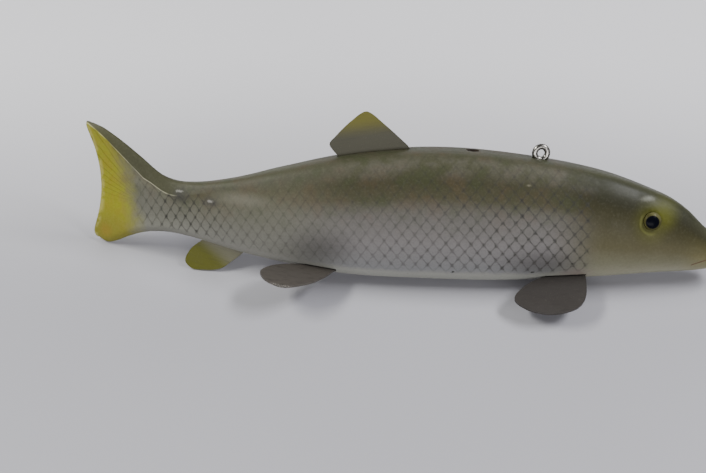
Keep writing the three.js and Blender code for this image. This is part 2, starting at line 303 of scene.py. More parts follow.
class Board:
    """Shader nodes of one material."""

    def __init__(self, name: str) -> None:
        """Starts an empty node tree with a Principled shader."""
        self.material = bpy.data.materials.new(name)
        self.material.use_nodes = True
        self.tree = self.material.node_tree
        self.shader = next(n for n in self.tree.nodes if n.type == "BSDF_PRINCIPLED")

    def add(self, kind: str, settings: dict[str, Any], sockets: dict[Any, Any]) -> list[Sock]:
        """Adds any node.

        Args:
            kind: The node's type.
            settings: Its properties, or a ramp's stops as (place, colour) pairs.
            sockets: Values or links of its input sockets, by index or name.

        Returns:
            Its output sockets.
        """
        node = self.tree.nodes.new(kind)
        for name, value in settings.items():
            if name != "stops":
                setattr(node, name, value)
                continue
            ramp = node.color_ramp
            while len(ramp.elements) < len(value):
                ramp.elements.new(1.0)
            for element, (place, colour) in zip(ramp.elements, value):
                element.position = place
                element.color = colour
        for key, value in sockets.items():
            self.link(value, node.inputs[key])
        return [Sock(self, out) for out in node.outputs]

    def link(self, value: Any, target: bpy.types.NodeSocket) -> None:
        """Links a socket to an input, or sets the input's value."""
        if isinstance(value, Sock):
            self.tree.links.new(value.socket, target)
        else:
            target.default_value = value

    def math(self, operation: str, *values: Value) -> Sock:
        """Adds a Math node on these values, in order."""
        return self.add("ShaderNodeMath", {"operation": operation}, dict(enumerate(values)))[0]

    def vector(self, operation: str, *values: Any) -> list[Sock]:
        """Adds a Vector Math node on these values, in order."""
        return self.add("ShaderNodeVectorMath", {"operation": operation}, dict(enumerate(values)))

    def mix(self, share: Value, first: Any, second: Any, way: str = "MIX") -> Sock:
        """Mixes two colours, from the first at share 0 to the second at 1."""
        settings = {"data_type": "RGBA", "blend_type": way}
        return self.add("ShaderNodeMix", settings, {0: share, 6: first, 7: second})[2]

    def ramp(self, value: Sock, *stops: tuple[float, Any]) -> Sock:
        """Colour by a number, through a row of (place, colour) stops."""
        return self.add("ShaderNodeValToRGB", {"stops": stops}, {0: value})[0]

    def noise(self, place: Sock, scale: float, detail: float = 2.0, rough: float = 0.5) -> Sock:
        """Noise from 0 to 1 in place, with about this many patches in each unit."""
        sockets = {"Vector": place, "Scale": scale, "Detail": detail, "Roughness": rough}
        return self.add("ShaderNodeTexNoise", {}, sockets)[0]

    def split(self, place: Sock) -> list[Sock]:
        """Separate x, y and z of a vector."""
        return self.add("ShaderNodeSeparateXYZ", {}, {0: place})

    def join(self, x: Value, y: Value, z: Value) -> Sock:
        """Vector of three numbers."""
        return self.add("ShaderNodeCombineXYZ", {}, {0: x, 1: y, 2: z})[0]

    def uv(self, name: str) -> list[Sock]:
        """Both numbers of the piece's own UV map."""
        return self.split(self.add("ShaderNodeUVMap", {"uv_map": name}, {})[0])[:2]

    def fish_place(self) -> Sock:
        """Place in the upright fish's own frame, in millimetres."""
        shift = Matrix.Rotation(LEAN, 3, "X") @ -FISH_ORIGIN
        sockets = {"Location": shift, "Rotation": (LEAN, 0, 0), "Scale": (1 / MM,) * 3}
        sockets["Vector"] = self.here()
        return self.add("ShaderNodeMapping", {"vector_type": "POINT"}, sockets)[0]

    def here(self) -> Sock:
        """Place in the piece's own frame, in metres."""
        return self.add("ShaderNodeTexCoord", {}, {})[3]

    def bump(self, height: Sock, depth: float, strength: float = 1.0) -> Sock:
        """Normal of a relief whose height runs from 0 to 1 over a depth in millimetres."""
        sockets = {"Strength": strength, "Distance": depth * MM, "Height": height}
        return self.add("ShaderNodeBump", {}, sockets)[0]

    def finish(self, **sockets: Any) -> Material:
        """Sets the Principled shader's inputs, named with underscores for spaces."""
        for name, value in sockets.items():
            self.link(value, self.shader.inputs[name.replace("_", " ")])
        return self.material


# Carved form


@dataclass(frozen=True)
class Section:
    """Section of the body at one station.

    Attributes:
        tall: Half height.
        wide: Half width.
        middle: Height of its middle.
        blade: Share of tail blade in its shape.
        ridge: Angle of the ridge under the upper facet of the blade.
    """

    tall: float
    wide: float
    middle: float
    blade: float
    ridge: float


@dataclass(frozen=True)
class BodyForm:
    """Carved form of the body in the fish's own frame, in millimetres.

    A station is a place along it, as a share of its length from the nose.

    Attributes:
        nose_round: Length over which the nose closes.
        roundness: Power that squares the sections off.
        flatness, flat_to: Flattening of the back, and the angle that it reaches.
        outline: Rows of station, heights of back and belly by the depth, and share of the width.
        curve, curve_start, curve_power: Bend of the tail to the left.
        blade_start, blade_full: Stations over which the sections turn into the tail blade.
        lower_rim, rim_least: Rim along the blade's lower edge, and the least share of it inside the rim.
        hollow: How deep the blade's sides are hollowed.
        tail_reach: Reach of the tail past the length at its fork.
        upper_sweep, lower_sweep: Reach of the lobes past the fork, with the rounding of their corners.
        ridge_low, ridge_fall: Stations where the ridge is lowest and from where it climbs to its end.
        ridge_angle, ridge_end_angle: Angles of the ridge round the section at its lowest and at its end.
        crest, crest_power, crest_round: Thinning of the facet over the ridge, up to its rounded edge.
        probe: Steps along and round the body that its tangents are taken over.
    """

    length: float = 256.0
    depth: float = 52.6
    width: float = 34.0
    nose_round: float = 7.0
    roundness: float = 2 / 2.15
    flatness: float = 0.023
    flat_to: float = 60.0
    outline: tuple[tuple[float, ...], ...] = (
        (0.0, 0.3, 0.17, 0.3), (0.05, 0.445, 0.117, 0.46), (0.085, 0.597, 0.098, 0.56),
        (0.12, 0.695, 0.086, 0.66), (0.22, 0.865, 0.042, 0.86), (0.36, 0.977, 0.0, 0.99),
        (0.48, 1.006, 0.0, 1.0), (0.6, 0.949, 0.02, 0.9), (0.7, 0.839, 0.092, 0.68),
        (0.78, 0.733, 0.165, 0.46), (0.85, 0.679, 0.245, 0.3), (0.88, 0.712, 0.266, 0.25),
        (0.91, 0.852, 0.252, 0.21), (0.94, 0.958, 0.204, 0.17), (0.97, 1.044, 0.138, 0.11),
        (0.985, 1.071, 0.12, 0.085), (1.0, 1.09, 0.15, 0.06),
    )
    curve: float = 20.0
    curve_start: float = 0.6
    curve_power: float = 2.3
    blade_start: float = 0.8
    blade_full: float = 0.92
    lower_rim: float = 3.4
    rim_least: float = 0.5
    hollow: float = 0.3
    tail_reach: float = 1.1
    upper_sweep: float = 6.0
    upper_rounding: float = 0.25
    upper_corner: int = 14
    lower_sweep: float = 6.0
    lower_rounding: float = 0.55
    lower_corner: int = 12
    ridge_low: float = 0.9
    ridge_fall: float = 0.918
    ridge_angle: float = 69.0
    ridge_end_angle: float = 16.0
    crest: float = 0.2
    crest_power: float = 1.1
    crest_round: float = 0.06
    probe: Pair = (0.01, 5.0)

    def share(self, column: int, at: float) -> float:
        """Smooth curve through one column of the outline."""
        rows = self.outline
        last = len(rows) - 1
        i = 0
        while i < last - 1 and rows[i + 1][0] < at:
            i += 1

        def slope(a: int, b: int) -> float:
            """Slope between two rows."""
            return (rows[b][column] - rows[a][column]) / (rows[b][0] - rows[a][0])

        start, end = slope(max(i - 1, 0), i + 1), slope(i, min(i + 2, last))
        span = rows[i + 1][0] - rows[i][0]
        t = (at - rows[i][0]) / span
        ends = blend(rows[i][column], rows[i + 1][column], t * t * (3 - 2 * t))
        return ends + span * t * (1 - t) * ((1 - t) * start - t * end)

    def section(self, at: float) -> Section:
        """Section of the body at a station."""
        closing = math.sqrt(max(0.0, 1 - (1 - min(1.0, at * self.length / self.nose_round)) ** 2))
        back = self.share(1, at) * self.depth
        belly = self.share(2, at) * self.depth
        falling = min(1.0, max(0.0, (at - self.ridge_fall) / (1 - self.ridge_fall)))
        ridge = blend(self.ridge_angle, self.ridge_end_angle, falling)
        return Section(
            tall=(back - belly) / 2 * closing,
            wide=self.share(3, at) * self.width / 2 * closing,
            middle=(back + belly) / 2,
            blade=ease(at, self.blade_start, self.blade_full),
            ridge=blend(RIDGE_TURN, ridge, ease(at, self.blade_start, self.ridge_low)),
        )

    def middle_line(self, at: float) -> float:
        """Sideways place of the body's middle line."""
        past = max(0.0, (at - self.curve_start) / (1 - self.curve_start))
        return self.curve * past**self.curve_power

    def power(self, value: float) -> float:
        """Cosine or sine squared off for the body's full sections."""
        return math.copysign(abs(value) ** self.roundness, value)

    def flattening(self, degrees: float) -> float:
        """Rise of the section's shoulders over its flattened back, as a share of the half height."""
        turn = math.pi / 2 * min(1.0, abs(degrees) / self.flat_to)
        return self.flatness * (2 * math.sin(2 * turn) ** 2 - math.cos(turn) ** 2)

    def blade_half_width(self, section: Section, height: float) -> float:
        """Half width of the blade at a height above its middle."""
        reach = height / max(section.tall, 1e-6)
        ridge = self.power(math.cos(math.radians(section.ridge)))
        if reach > ridge:
            t = min(1.0, (reach - ridge) / (1 - ridge))
            edge = math.sqrt(min(1.0, (1 - t) / self.crest_round))
            return section.wide * blend(1.0, self.crest, t**self.crest_power) * edge
        rim = ridge if reach > 0 else max(self.rim_least, 1 - self.lower_rim / max(section.tall, 1e-6))
        reach = abs(reach)
        if reach < rim:
            return section.wide * (1 - self.hollow * (1 - (reach / rim) ** 2))
        return section.wide * math.sqrt(max(0.0, 1 - ((reach - rim) / (1 - rim)) ** 2))

    def sweep(self, share: float) -> float:
        """Reach of the tail's lobes past its fork, by share of the half height."""
        if share > 0:
            return self.upper_sweep * share**2 * (1 - self.upper_rounding * share**self.upper_corner)
        return self.lower_sweep * share**2 * (1 - self.lower_rounding * share**self.lower_corner)

    def point(self, at: float, degrees: float) -> Vector:
        """Point on the body.

        Args:
            at: Station.
            degrees: Angle round the section, 0 on the back, 180 on the belly, below 0 on the right side.

        Returns:
            The point in the fish's frame.
        """
        section = self.section(at)
        angle = math.radians(degrees)
        side = math.copysign(1.0, degrees) if abs(math.sin(angle)) > 1e-9 else 0.0
        flattening = self.flattening(degrees) * (1 - section.blade)
        height = section.tall * (self.power(math.cos(angle)) + flattening)
        oval = section.wide * self.power(math.sin(angle))
        blade = side * self.blade_half_width(section, height)
        share = height / section.tall if section.tall > 0 else 0.0
        x = -at * self.length - (self.tail_reach + self.sweep(share)) * section.blade**2
        y = self.middle_line(at) + blend(oval, blade, section.blade)
        return Vector((x, y, section.middle + height))

    def tangents(self, at: float, degrees: float) -> tuple[Vector, Vector]:
        """Ways rearwards along the surface and outwards from it at a point."""
        far, turned = self.probe
        along = self.point(at + far, degrees) - self.point(at - far, degrees)
        around = self.point(at, degrees + turned) - self.point(at, degrees - turned)
        return along.normalized(), around.cross(along).normalized()


FORM = BodyForm()


# Finishes


@dataclass(frozen=True)
class Film:
    """Thin film of colour for paint, dirt, wear and painted highlights: its 8-bit colour and how much of
    it shows at most.
    """

    colour: RGB
    strength: float


@dataclass(frozen=True)
class OvalFilm(Film):
    """Soft oval film on the near side of the body, used for marks, patches of paint and painted
    highlights.

    Attributes:
        centre: Its place along the fish and its height, in millimetres.
        size: Its half length and half height.
        soft: Share of its size over which its edge fades.
    """

    centre: Pair
    size: Pair
    soft: float


class Paint:
    """Colour that is built up on a board, film by film."""

    def __init__(self, board: Board, ground: Any) -> None:
        """Starts with the ground colour."""
        self.board = board
        self.colour = ground

    def lay(self, film: Film, share: Sock) -> None:
        """Lays a film over what is there, where a share is above 0."""
        amount = share if film.strength == 1 else share * film.strength
        self.colour = self.board.mix(amount, self.colour, tone(*film.colour))


@dataclass(frozen=True)
class BodyPaint:
    """Sprayed and varnished paint of the body.

    Places along the fish are shares of its length, places round it shares of the way from back to belly.

    Attributes:
        head, nose, trunk, stem: Colours by share of the way round from the back to the belly.
        nose_end, head_end, stem_start: Stretches over which they turn into each other.
        under, beside: Shades on the tail blade.
        brown, moss, bloom: Mottling of the back, and a painted sheen of the varnish along the shoulder.
        glow, bead: Yellow spray round the eye, and a pale arc of paint behind and below it, partly a
            painted highlight on the rim of the eye's dish.
        net_width, net_height: Cell of the net through which the silver was sprayed, in millimetres.
        net_stretch, net_lean, net_sag, net_crowding, net_slack: How the net was pulled out of true.
        net_middle, net_phase: Where it was stretched from, and how its cells fall there.
        net_lines, net_knots: What the net left.
        net_start, net_strength: Where the net starts, and how strongly it shows along the fish.
        facet, worn, snout: The tail's upper facet, the pale line along the ridge below it, which is
            rubbed paint and a painted highlight of the edge, and the painted highlight along the snout's
            edge.
        yellow, yellow_edge: The tail's yellow, and the places between which it sets in.
        tail_low, tail_rays, tail_rim: Films on the yellow; the pale rim is partly a painted highlight of
            the tail's edge.
        ray_hub, rays: Where the tail's rays run from, and how many there are to a radian.
        pale_dust, dark_dust: Fine speckle all over.
        marks_and_highlights: Chips, smudges and stains of the near side, and two painted highlights of
            the varnish.
    """

    head: Stops = (
        (0.0, (57, 58, 44)), (0.12, (54, 55, 38)), (0.19, (33, 34, 18)), (0.32, (30, 29, 12)),
        (0.46, (50, 47, 27)), (0.58, (71, 67, 46)), (0.7, (95, 93, 75)), (0.8, (117, 115, 98)),
        (1.0, (130, 130, 116)),
    )
    nose: Stops = (
        (0.0, (68, 70, 56)), (0.24, (49, 49, 32)), (0.36, (40, 38, 19)), (0.48, (66, 62, 37)),
        (0.6, (92, 87, 60)), (0.75, (108, 104, 80)), (1.0, (130, 128, 110)),
    )
    trunk: Stops = (
        (0.0, (52, 52, 38)), (0.2, (60, 59, 45)), (0.3, (48, 46, 31)), (0.39, (54, 52, 36)),
        (0.48, (78, 75, 71)), (0.6, (98, 95, 94)), (0.76, (105, 105, 105)),
        (0.8, (122, 122, 116)), (1.0, (136, 136, 130)),
    )
    stem: Stops = (
        (0.0, (68, 68, 52)), (0.16, (62, 61, 46)), (0.22, (55, 54, 40)), (0.32, (66, 64, 49)),
        (0.44, (80, 79, 68)), (0.6, (91, 90, 83)), (0.8, (105, 104, 98)), (1.0, (116, 115, 106)),
    )
    nose_end: Pair = (0.1, 0.05)
    head_end: Pair = (0.31, 0.21)
    stem_start: Pair = (0.58, 0.72)
    under: Film = Film((60, 60, 48), 0.3)
    beside: Film = Film((112, 112, 94), 0.35)
    brown: Film = Film((72, 52, 34), 0.2)
    moss: Film = Film((42, 52, 27), 0.3)
    painted_sheen: Film = Film((120, 121, 122), 1)
    eye_place: Pair = (-36.9, 27.5)
    glow: tuple[OvalFilm, ...] = (
        OvalFilm((82, 84, 4), 0.47, (-31.6, 30.6), (4.4, 4.4), 0.95),
        OvalFilm((82, 84, 4), 0.38, eye_place, (5.2, 6.0), 0.95),
    )
    arc_paint_and_highlight: Film = Film((112, 114, 64), 0.25)
    arc_radius: float = 4.6
    net_lines: Film = Film((40, 39, 35), 0.6)
    net_knots: Film = Film((24, 24, 22), 0.5)
    net_width: float = 4.66
    net_height: float = 6.04
    net_stretch: float = -0.00012
    net_lean: float = 0.0127
    net_sag: float = -0.000074
    net_crowding: float = -0.00047
    net_slack: float = 0.8
    net_middle: Pair = (-136.0, 26.0)
    net_phase: Pair = (1.27, 0.865)
    net_start: Pair = (0.231, 0.243)
    net_strength: tuple[Pair, ...] = (
        (0.23, 1.0), (0.33, 1.0), (0.4, 0.8), (0.5, 0.55), (0.6, 0.4), (0.76, 0.4), (0.8, 0.62),
        (0.84, 1.0), (0.88, 1.0), (0.92, 0.5), (0.95, 0.0),
    )
    facet_start: Pair = (0.85, 0.875)
    facet: Film = Film((55, 55, 39), 0.95)
    ridge_line_start: Pair = (0.855, 0.87)
    ridge_wear_and_highlight: Film = Film((176, 174, 148), 0.4)
    snout_end: Pair = (0.105, 0.08)
    snout: Film = Film((120, 124, 96), 0.5)
    yellow: tuple[RGB, RGB] = ((116, 115, 27), (118, 111, 28))
    yellow_edge: Pair = (-238.0, -250.5)
    tail_low: Film = Film((97, 92, 34), 0.75)
    tail_rays: Film = Film((74, 66, 14), 0.4)
    tail_rim: Film = Film((170, 166, 108), 0.3)
    ray_hub: Pair = (-236.4, 24.8)
    rays: int = 9
    pale_dust: Film = Film((160, 158, 140), 0.03)
    dark_dust: Film = Film((34, 33, 22), 0.12)
    marks_and_highlights: tuple[OvalFilm, ...] = (
        OvalFilm((54, 52, 50), 0.6, (-163.5, 15.0), (10.0, 6.0), 0.9),
        OvalFilm((52, 48, 47), 0.5, (-78.0, 11.0), (12.0, 4.5), 0.95),
        OvalFilm((100, 76, 86), 0.35, (-64.0, 5.3), (5.0, 2.4), 0.9),
        OvalFilm((102, 98, 84), 0.5, (-85.0, 41.4), (0.9, 0.35), 0.6),
        OvalFilm((48, 47, 47), 0.6, (-221.2, 30.6), (3.0, 2.3), 0.8),
        OvalFilm((126, 124, 118), 0.65, (-221.7, 32.3), (1.4, 0.4), 0.6),
        OvalFilm((50, 48, 48), 0.6, (-208.2, 29.3), (3.0, 1.7), 0.8),
        OvalFilm((132, 130, 124), 0.65, (-208.6, 29.6), (1.2, 0.5), 0.6),
        OvalFilm((22, 21, 20), 0.95, (-112.1, 5.9), (0.7, 0.45), 0.3),
        OvalFilm((22, 21, 20), 0.95, (-80.9, 6.4), (0.7, 0.45), 0.3),
        OvalFilm((105, 48, 25), 0.7, (-164.4, 4.4), (1.6, 1.0), 0.6),
        # Painted sheen: a pale streak of reflected light on the upper stem.
        OvalFilm((104, 102, 92), 0.45, (-195.5, 31.5), (9.0, 2.2), 0.9),
        # Painted highlight: a small glint of reflected light on the head above the eye.
        OvalFilm((132, 132, 122), 0.38, (-38.5, 36.0), (2.4, 0.8), 0.8),
        OvalFilm((126, 84, 24), 0.25, (-256.0, 12.0), (2.6, 2.4), 0.8),
    )

    def material(self) -> Material:
        """Builds the paint."""
        board = Board("body_paint")
        along, around = board.uv("lay")
        ridge, side = board.uv("ridge")
        place = board.fish_place()
        x, _, z = board.split(place)
        speckle = board.noise(place, 2.4, 2, 0.7)
        grain = board.noise(place, 0.75, 3, 0.65)
        patches = board.noise(place, 0.13, 3, 0.55)

        wavering = around + (patches - 0.5) * 0.05 + (grain - 0.5) * 0.035
        paint = Paint(board, self.ground(board, along, wavering))
        mottled = around.rise(0.62, 0.4) * along.rise(0.2, 0.3)
        paint.lay(self.brown, patches.rise(0.48, 0.68) * mottled)
        paint.lay(self.moss, patches.rise(0.5, 0.3) * mottled)
        # Painted sheen: a pale band of reflected light along the shoulder.
        shoulder = around.rise(0.12, 0.2) * around.rise(0.32, 0.24)
        shoulder = shoulder * along.rise(0.16, 0.26) * along.rise(0.68, 0.56)
        paint.lay(self.painted_sheen, shoulder * patches.rise(0.38, 0.62) * (grain * 0.14 + 0.02))
        for glow in self.glow:
            paint.lay(glow, self.spot(x, z, glow))
        # Pale arc behind and below the eye: paint, and a painted highlight where the rim of the eye's
        # dish catches the light.
        paint.lay(self.arc_paint_and_highlight, self.arc_mask(x, z))

        lines, knots = self.net(x, z, board.noise(place, 0.07, 1) - 0.5)
        shown = board.ramp(along, *((at, (share, share, share, 1)) for at, share in self.net_strength))
        shown = shown * along.rise(*self.net_start)
        shown = shown * (around.rise(0.14, 0.44) * 0.75 + 0.25) * around.rise(0.8, 0.72)
        shown = shown * (0.45 + grain.rise(0.3, 0.7) * 1.1)
        paint.lay(self.net_lines, lines * shown)
        paint.lay(self.net_knots, knots * shown)

        paint.colour = self.tail(board, paint.colour, x, z, along, place)
        paint.lay(self.facet, ridge.rise(0.02, 0.06) * along.rise(*self.facet_start))
        # Pale line along the tail's ridge: rubbed paint, and a painted highlight of the edge.
        ridge_line = abs(ridge - 0.012).rise(0.045, 0.0) * along.rise(*self.ridge_line_start)
        paint.lay(self.ridge_wear_and_highlight, ridge_line * patches.rise(0.38, 0.6))
        # Painted highlight along the edge of the snout's flat top.
        paint.lay(self.snout, abs(ridge).rise(0.05, 0.0) * along.rise(*self.snout_end))
        near = side.rise(0.6, 0.4)
        ragged_x = x + (grain - 0.5) * 2.4 + (speckle - 0.5) * 0.8
        ragged_z = z + (speckle - 0.5) * 1.4
        # Marks of the near side, two of them painted highlights.
        for mark in self.marks_and_highlights:
            paint.lay(mark, self.spot(ragged_x, ragged_z, mark) * near)
        dust = board.noise(place, 1.1, 2, 0.6)
        paint.lay(self.pale_dust, dust.rise(0.45, 0.8))
        paint.lay(self.dark_dust, dust.rise(0.55, 0.2))

        return board.finish(
            Base_Color=paint.colour,
            Specular_IOR_Level=0.15,
            Roughness=0.5 + (grain - 0.5) * 0.2,
            Coat_Weight=board.noise(place, 0.09, 2).rise(0.42, 0.62) * along.rise(0.45, 0.3) * 0.035,
            Coat_Roughness=0.2,
            Normal=board.bump(grain * 0.5 + speckle * 0.2 + lines * shown * 0.3, 0.08, 0.6),
        )

    def ground(self, board: Board, along: Sock, around: Sock) -> Sock:
        """Sprayed ground colours, blended from nose to head to trunk to stem."""
        head, nose, trunk, stem = (
            board.ramp(around, *((place, tone(*shade)) for place, shade in stops))
            for stops in (self.head, self.nose, self.trunk, self.stem)
        )
        paint = Paint(board, board.mix(along.rise(*self.head_end), trunk, head))
        paint.colour = board.mix(along.rise(*self.nose_end), paint.colour, nose)
        paint.colour = board.mix(along.rise(*self.stem_start), paint.colour, stem)
        paint.lay(self.under, along.rise(0.83, 0.89) * around.rise(0.48, 0.6))
        paint.lay(self.beside, along.rise(0.87, 0.9) * around.rise(0.26, 0.32) * around.rise(0.48, 0.42))
        return paint.colour

    def spot(self, x: Sock, z: Sock, mark: OvalFilm) -> Sock:
        """Soft-edged oval of a mark, 1 at its middle, for a place along the fish and a height."""
        across = (x - mark.centre[0]) / mark.size[0]
        up = (z - mark.centre[1]) / mark.size[1]
        return ((across * across + up * up) ** 0.5).rise(1 + mark.soft, 1 - mark.soft)

    def arc_mask(self, x: Sock, z: Sock) -> Sock:
        """Arc behind and below the eye, for a place along the fish and a height."""
        behind, below = self.eye_place[0] - x, self.eye_place[1] - z
        away = (behind * behind + below * below) ** 0.5
        return abs(away - self.arc_radius).rise(0.8, 0.1) * (behind * 0.8 + below * 0.5).rise(0.5, 3.5)

    def net(self, x: Sock, z: Sock, uneven: Sock) -> tuple[Sock, Sock]:
        """Dark lines and knots that the net kept from the spray.

        Args:
            x: Place along the fish.
            z: Height in the fish.
            uneven: Slack of the net, from -0.5 to 0.5.

        Returns:
            The lines and the knots, from 0 to 1.
        """
        right = x - self.net_middle[0]
        up = z - self.net_middle[1] + uneven * self.net_slack
        column = right / self.net_width + right * right * self.net_stretch + up * self.net_lean
        column = column + self.net_phase[0]
        row = up * (-1 / self.net_height) + right * right * self.net_sag + up * up * self.net_crowding
        row = row + self.net_phase[1]
        rising = abs((column + row).fraction() * 2 - 1)
        falling = abs((column - row).fraction() * 2 - 1)
        off_cell = ((1 - rising) ** 3 + (1 - falling) ** 3) ** (1 / 3)
        return off_cell.rise(0.77, 1.04), off_cell.rise(1.04, 1.24)

    def tail(self, board: Board, colour: Sock, x: Sock, z: Sock, along: Sock, place: Sock) -> Sock:
        """Yellow end of the tail with its thin rays and pale rim, the rim partly a painted highlight,
        over the ground colour.
        """
        cloudy = board.noise(place, 0.25, 3)
        first, second = (tone(*shade) for shade in self.yellow)
        yellow = Paint(board, board.mix(cloudy.rise(0.4, 0.65), first, second))
        yellow.lay(self.tail_low, z.rise(24, 12))
        angle = board.math("ARCTAN2", z - self.ray_hub[1], self.ray_hub[0] - x)
        off_ray = abs((angle * self.rays + cloudy * 0.4).fraction() * 2 - 1)
        yellow.lay(self.tail_rays, off_ray.rise(0.34, 0.05) * angle.rise(-0.1, 0.3))
        # Pale rim along the tail's end: pale paint, and a painted highlight of the edge.
        yellow.lay(self.tail_rim, along.rise(0.993, 0.999) * cloudy.rise(0.4, 0.55))
        edge = x + (cloudy - 0.5) * 7 + (z - 28) * 0.2
        return board.mix(edge.rise(*self.yellow_edge), colour, yellow.colour)


@dataclass(frozen=True)
class CutWood:
    """Paint-soiled wood inside a cut.

    Attributes:
        name: Name of the material.
        dark, pale: Colours between which it varies.
    """

    name: str
    dark: RGB
    pale: RGB

    def material(self) -> Material:
        """Builds the bare wood."""
        board = Board(self.name)
        patches = board.noise(board.fish_place(), 0.9, 3)
        colour = board.mix(patches, tone(*self.dark), tone(*self.pale))
        return board.finish(Base_Color=colour, Roughness=0.85)


@dataclass(frozen=True)
class FinPaint:
    """Brushed paint of one fin.

    Attributes:
        name: Name of the material.
        root: Colour by the body.
        tip: Colour at the outer edge.
        tip_start, tip_end: Share of the reach over which the colour turns.
        lean: How much further the rear edge takes the tip's colour.
        streaks: How strongly the brush's dark streaks show.
        chips: How strongly the paint is chipped off at the outer edge.
        streak, speck, bare: Colours of the streaks, of pale specks and of chipped places.
    """

    name: str
    root: RGB
    tip: RGB
    tip_start: float = 0.3
    tip_end: float = 1.0
    lean: float = 0.0
    streaks: float = 0.4
    chips: float = 0.0
    streak: RGB = (32, 29, 26)
    speck: Film = Film((128, 124, 112), 0.2)
    bare: RGB = (146, 142, 134)

    def material(self) -> Material:
        """Builds the paint."""
        board = Board(self.name)
        along, out = board.uv("sheet")
        place = board.fish_place()
        strokes = board.noise(board.join(along * 2.5, out * 15, 0.0), 1.0, 4, 0.6)
        grain = board.noise(place, 2.2, 3, 0.6)
        reach = out + along * self.lean + (strokes - 0.5) * 0.12
        paint = Paint(
            board, board.mix(reach.rise(self.tip_start, self.tip_end), tone(*self.root), tone(*self.tip))
        )
        paint.lay(Film(self.streak, self.streaks), strokes.rise(0.5, 0.75))
        paint.lay(self.speck, grain.rise(0.55, 0.85))
        paint.lay(Film(self.bare, self.chips), out.rise(0.93, 0.97) * grain.rise(0.5, 0.56))
        return board.finish(
            Base_Color=paint.colour,
            Specular_IOR_Level=0.2,
            Roughness=0.52 + (grain - 0.5) * 0.25,
            Coat_Weight=0.06,
            Coat_Roughness=0.4,
            Normal=board.bump(strokes * 0.7 + grain * 0.3, 0.06, 0.6),
        )


@dataclass(frozen=True)
class TieSteel:
    """Plated steel wire of the screw eye, a little dulled."""

    bright: RGB = (150, 148, 144)
    dulled: RGB = (92, 88, 82)

    def material(self) -> Material:
        """Builds the steel."""
        board = Board("tie_steel")
        place = board.fish_place()
        dull = board.noise(place, 1.1, 3, 0.6)
        colour = board.mix(dull, tone(*self.bright), tone(*self.dulled))
        return board.finish(
            Base_Color=colour,
            Metallic=1.0,
            Roughness=0.2 + dull * 0.2,
            Normal=board.bump(board.noise(place, 3.0, 2), 0.02, 0.4),
        )


@dataclass(frozen=True)
class EyeGlass:
    """Glass eye with a dark pupil in a pale golden ring, painted on its back.

    Attributes:
        pupil: Distance from the middle of the rim to the pupil's edge, over the dome.
        iris: Distance to the outer edge of the ring.
        off_centre: Place of the pupil's middle from the rim's.
        stretch: How much each way counts towards the distance from the pupil's middle.
        black, pale, dark, rim: Colours of the pupil, of the ring between two shades, and of the edge.
        ring_highlight: Painted highlight on the upper part of the ring.
    """

    pupil: float = 2.9
    iris: float = 3.42
    off_centre: Triple = (-0.4, 0.0, -0.25)
    stretch: Triple = (1.0, 1.0, 1.03)
    black: RGB = (6, 7, 13)
    pale: RGB = (62, 60, 36)
    dark: RGB = (48, 46, 24)
    rim: RGB = (70, 68, 36)
    ring_highlight: Film = Film((124, 122, 84), 0.25)

    def material(self, centre: Vector, name: str) -> Material:
        """Builds the glass of the eye whose rim is round centre, in the fish's frame."""
        board = Board(name)
        place = board.fish_place()
        away = board.vector("SUBTRACT", place, centre + Vector(self.off_centre))[0]
        inner = board.vector("LENGTH", board.vector("MULTIPLY", away, self.stretch)[0])[1]
        outer = board.vector("DISTANCE", place, centre)[1]
        ring = Paint(board, board.mix(board.noise(place, 2.0, 2), tone(*self.pale), tone(*self.dark)))
        x, _, z = board.split(place)
        # Painted highlight on the upper right of the ring.
        ring.lay(self.ring_highlight, ((z - centre.z) + (x - centre.x) * 0.6).rise(1.2, 3.4))
        seen = inner.rise(self.pupil - 0.1, self.pupil + 0.12)
        colour = board.mix(seen, tone(*self.black), ring.colour)
        colour = board.mix(outer.rise(self.iris - 0.1, self.iris + 0.08), colour, tone(*self.rim))
        return board.finish(Base_Color=colour, Specular_IOR_Level=0.03, Roughness=0.25)


@dataclass(frozen=True)
class TableTop:
    """Plain pale laminate of the table, with painted shade that makes it a little darker at the front."""

    front: RGB = (150, 149, 155)
    back: RGB = (208, 207, 211)

    def material(self) -> Material:
        """Builds the laminate."""
        board = Board("table_top")
        here = board.here()
        # Painted shade: the top darkens towards the front, with a little noise.
        shade = board.noise(here, 3.0, 2) * 0.15 + board.split(here)[1].rise(-0.04, 0.2) * 0.85
        colour = board.mix(shade, tone(*self.front), tone(*self.back))
        return board.finish(Base_Color=colour, Roughness=0.55)


# Tin fins


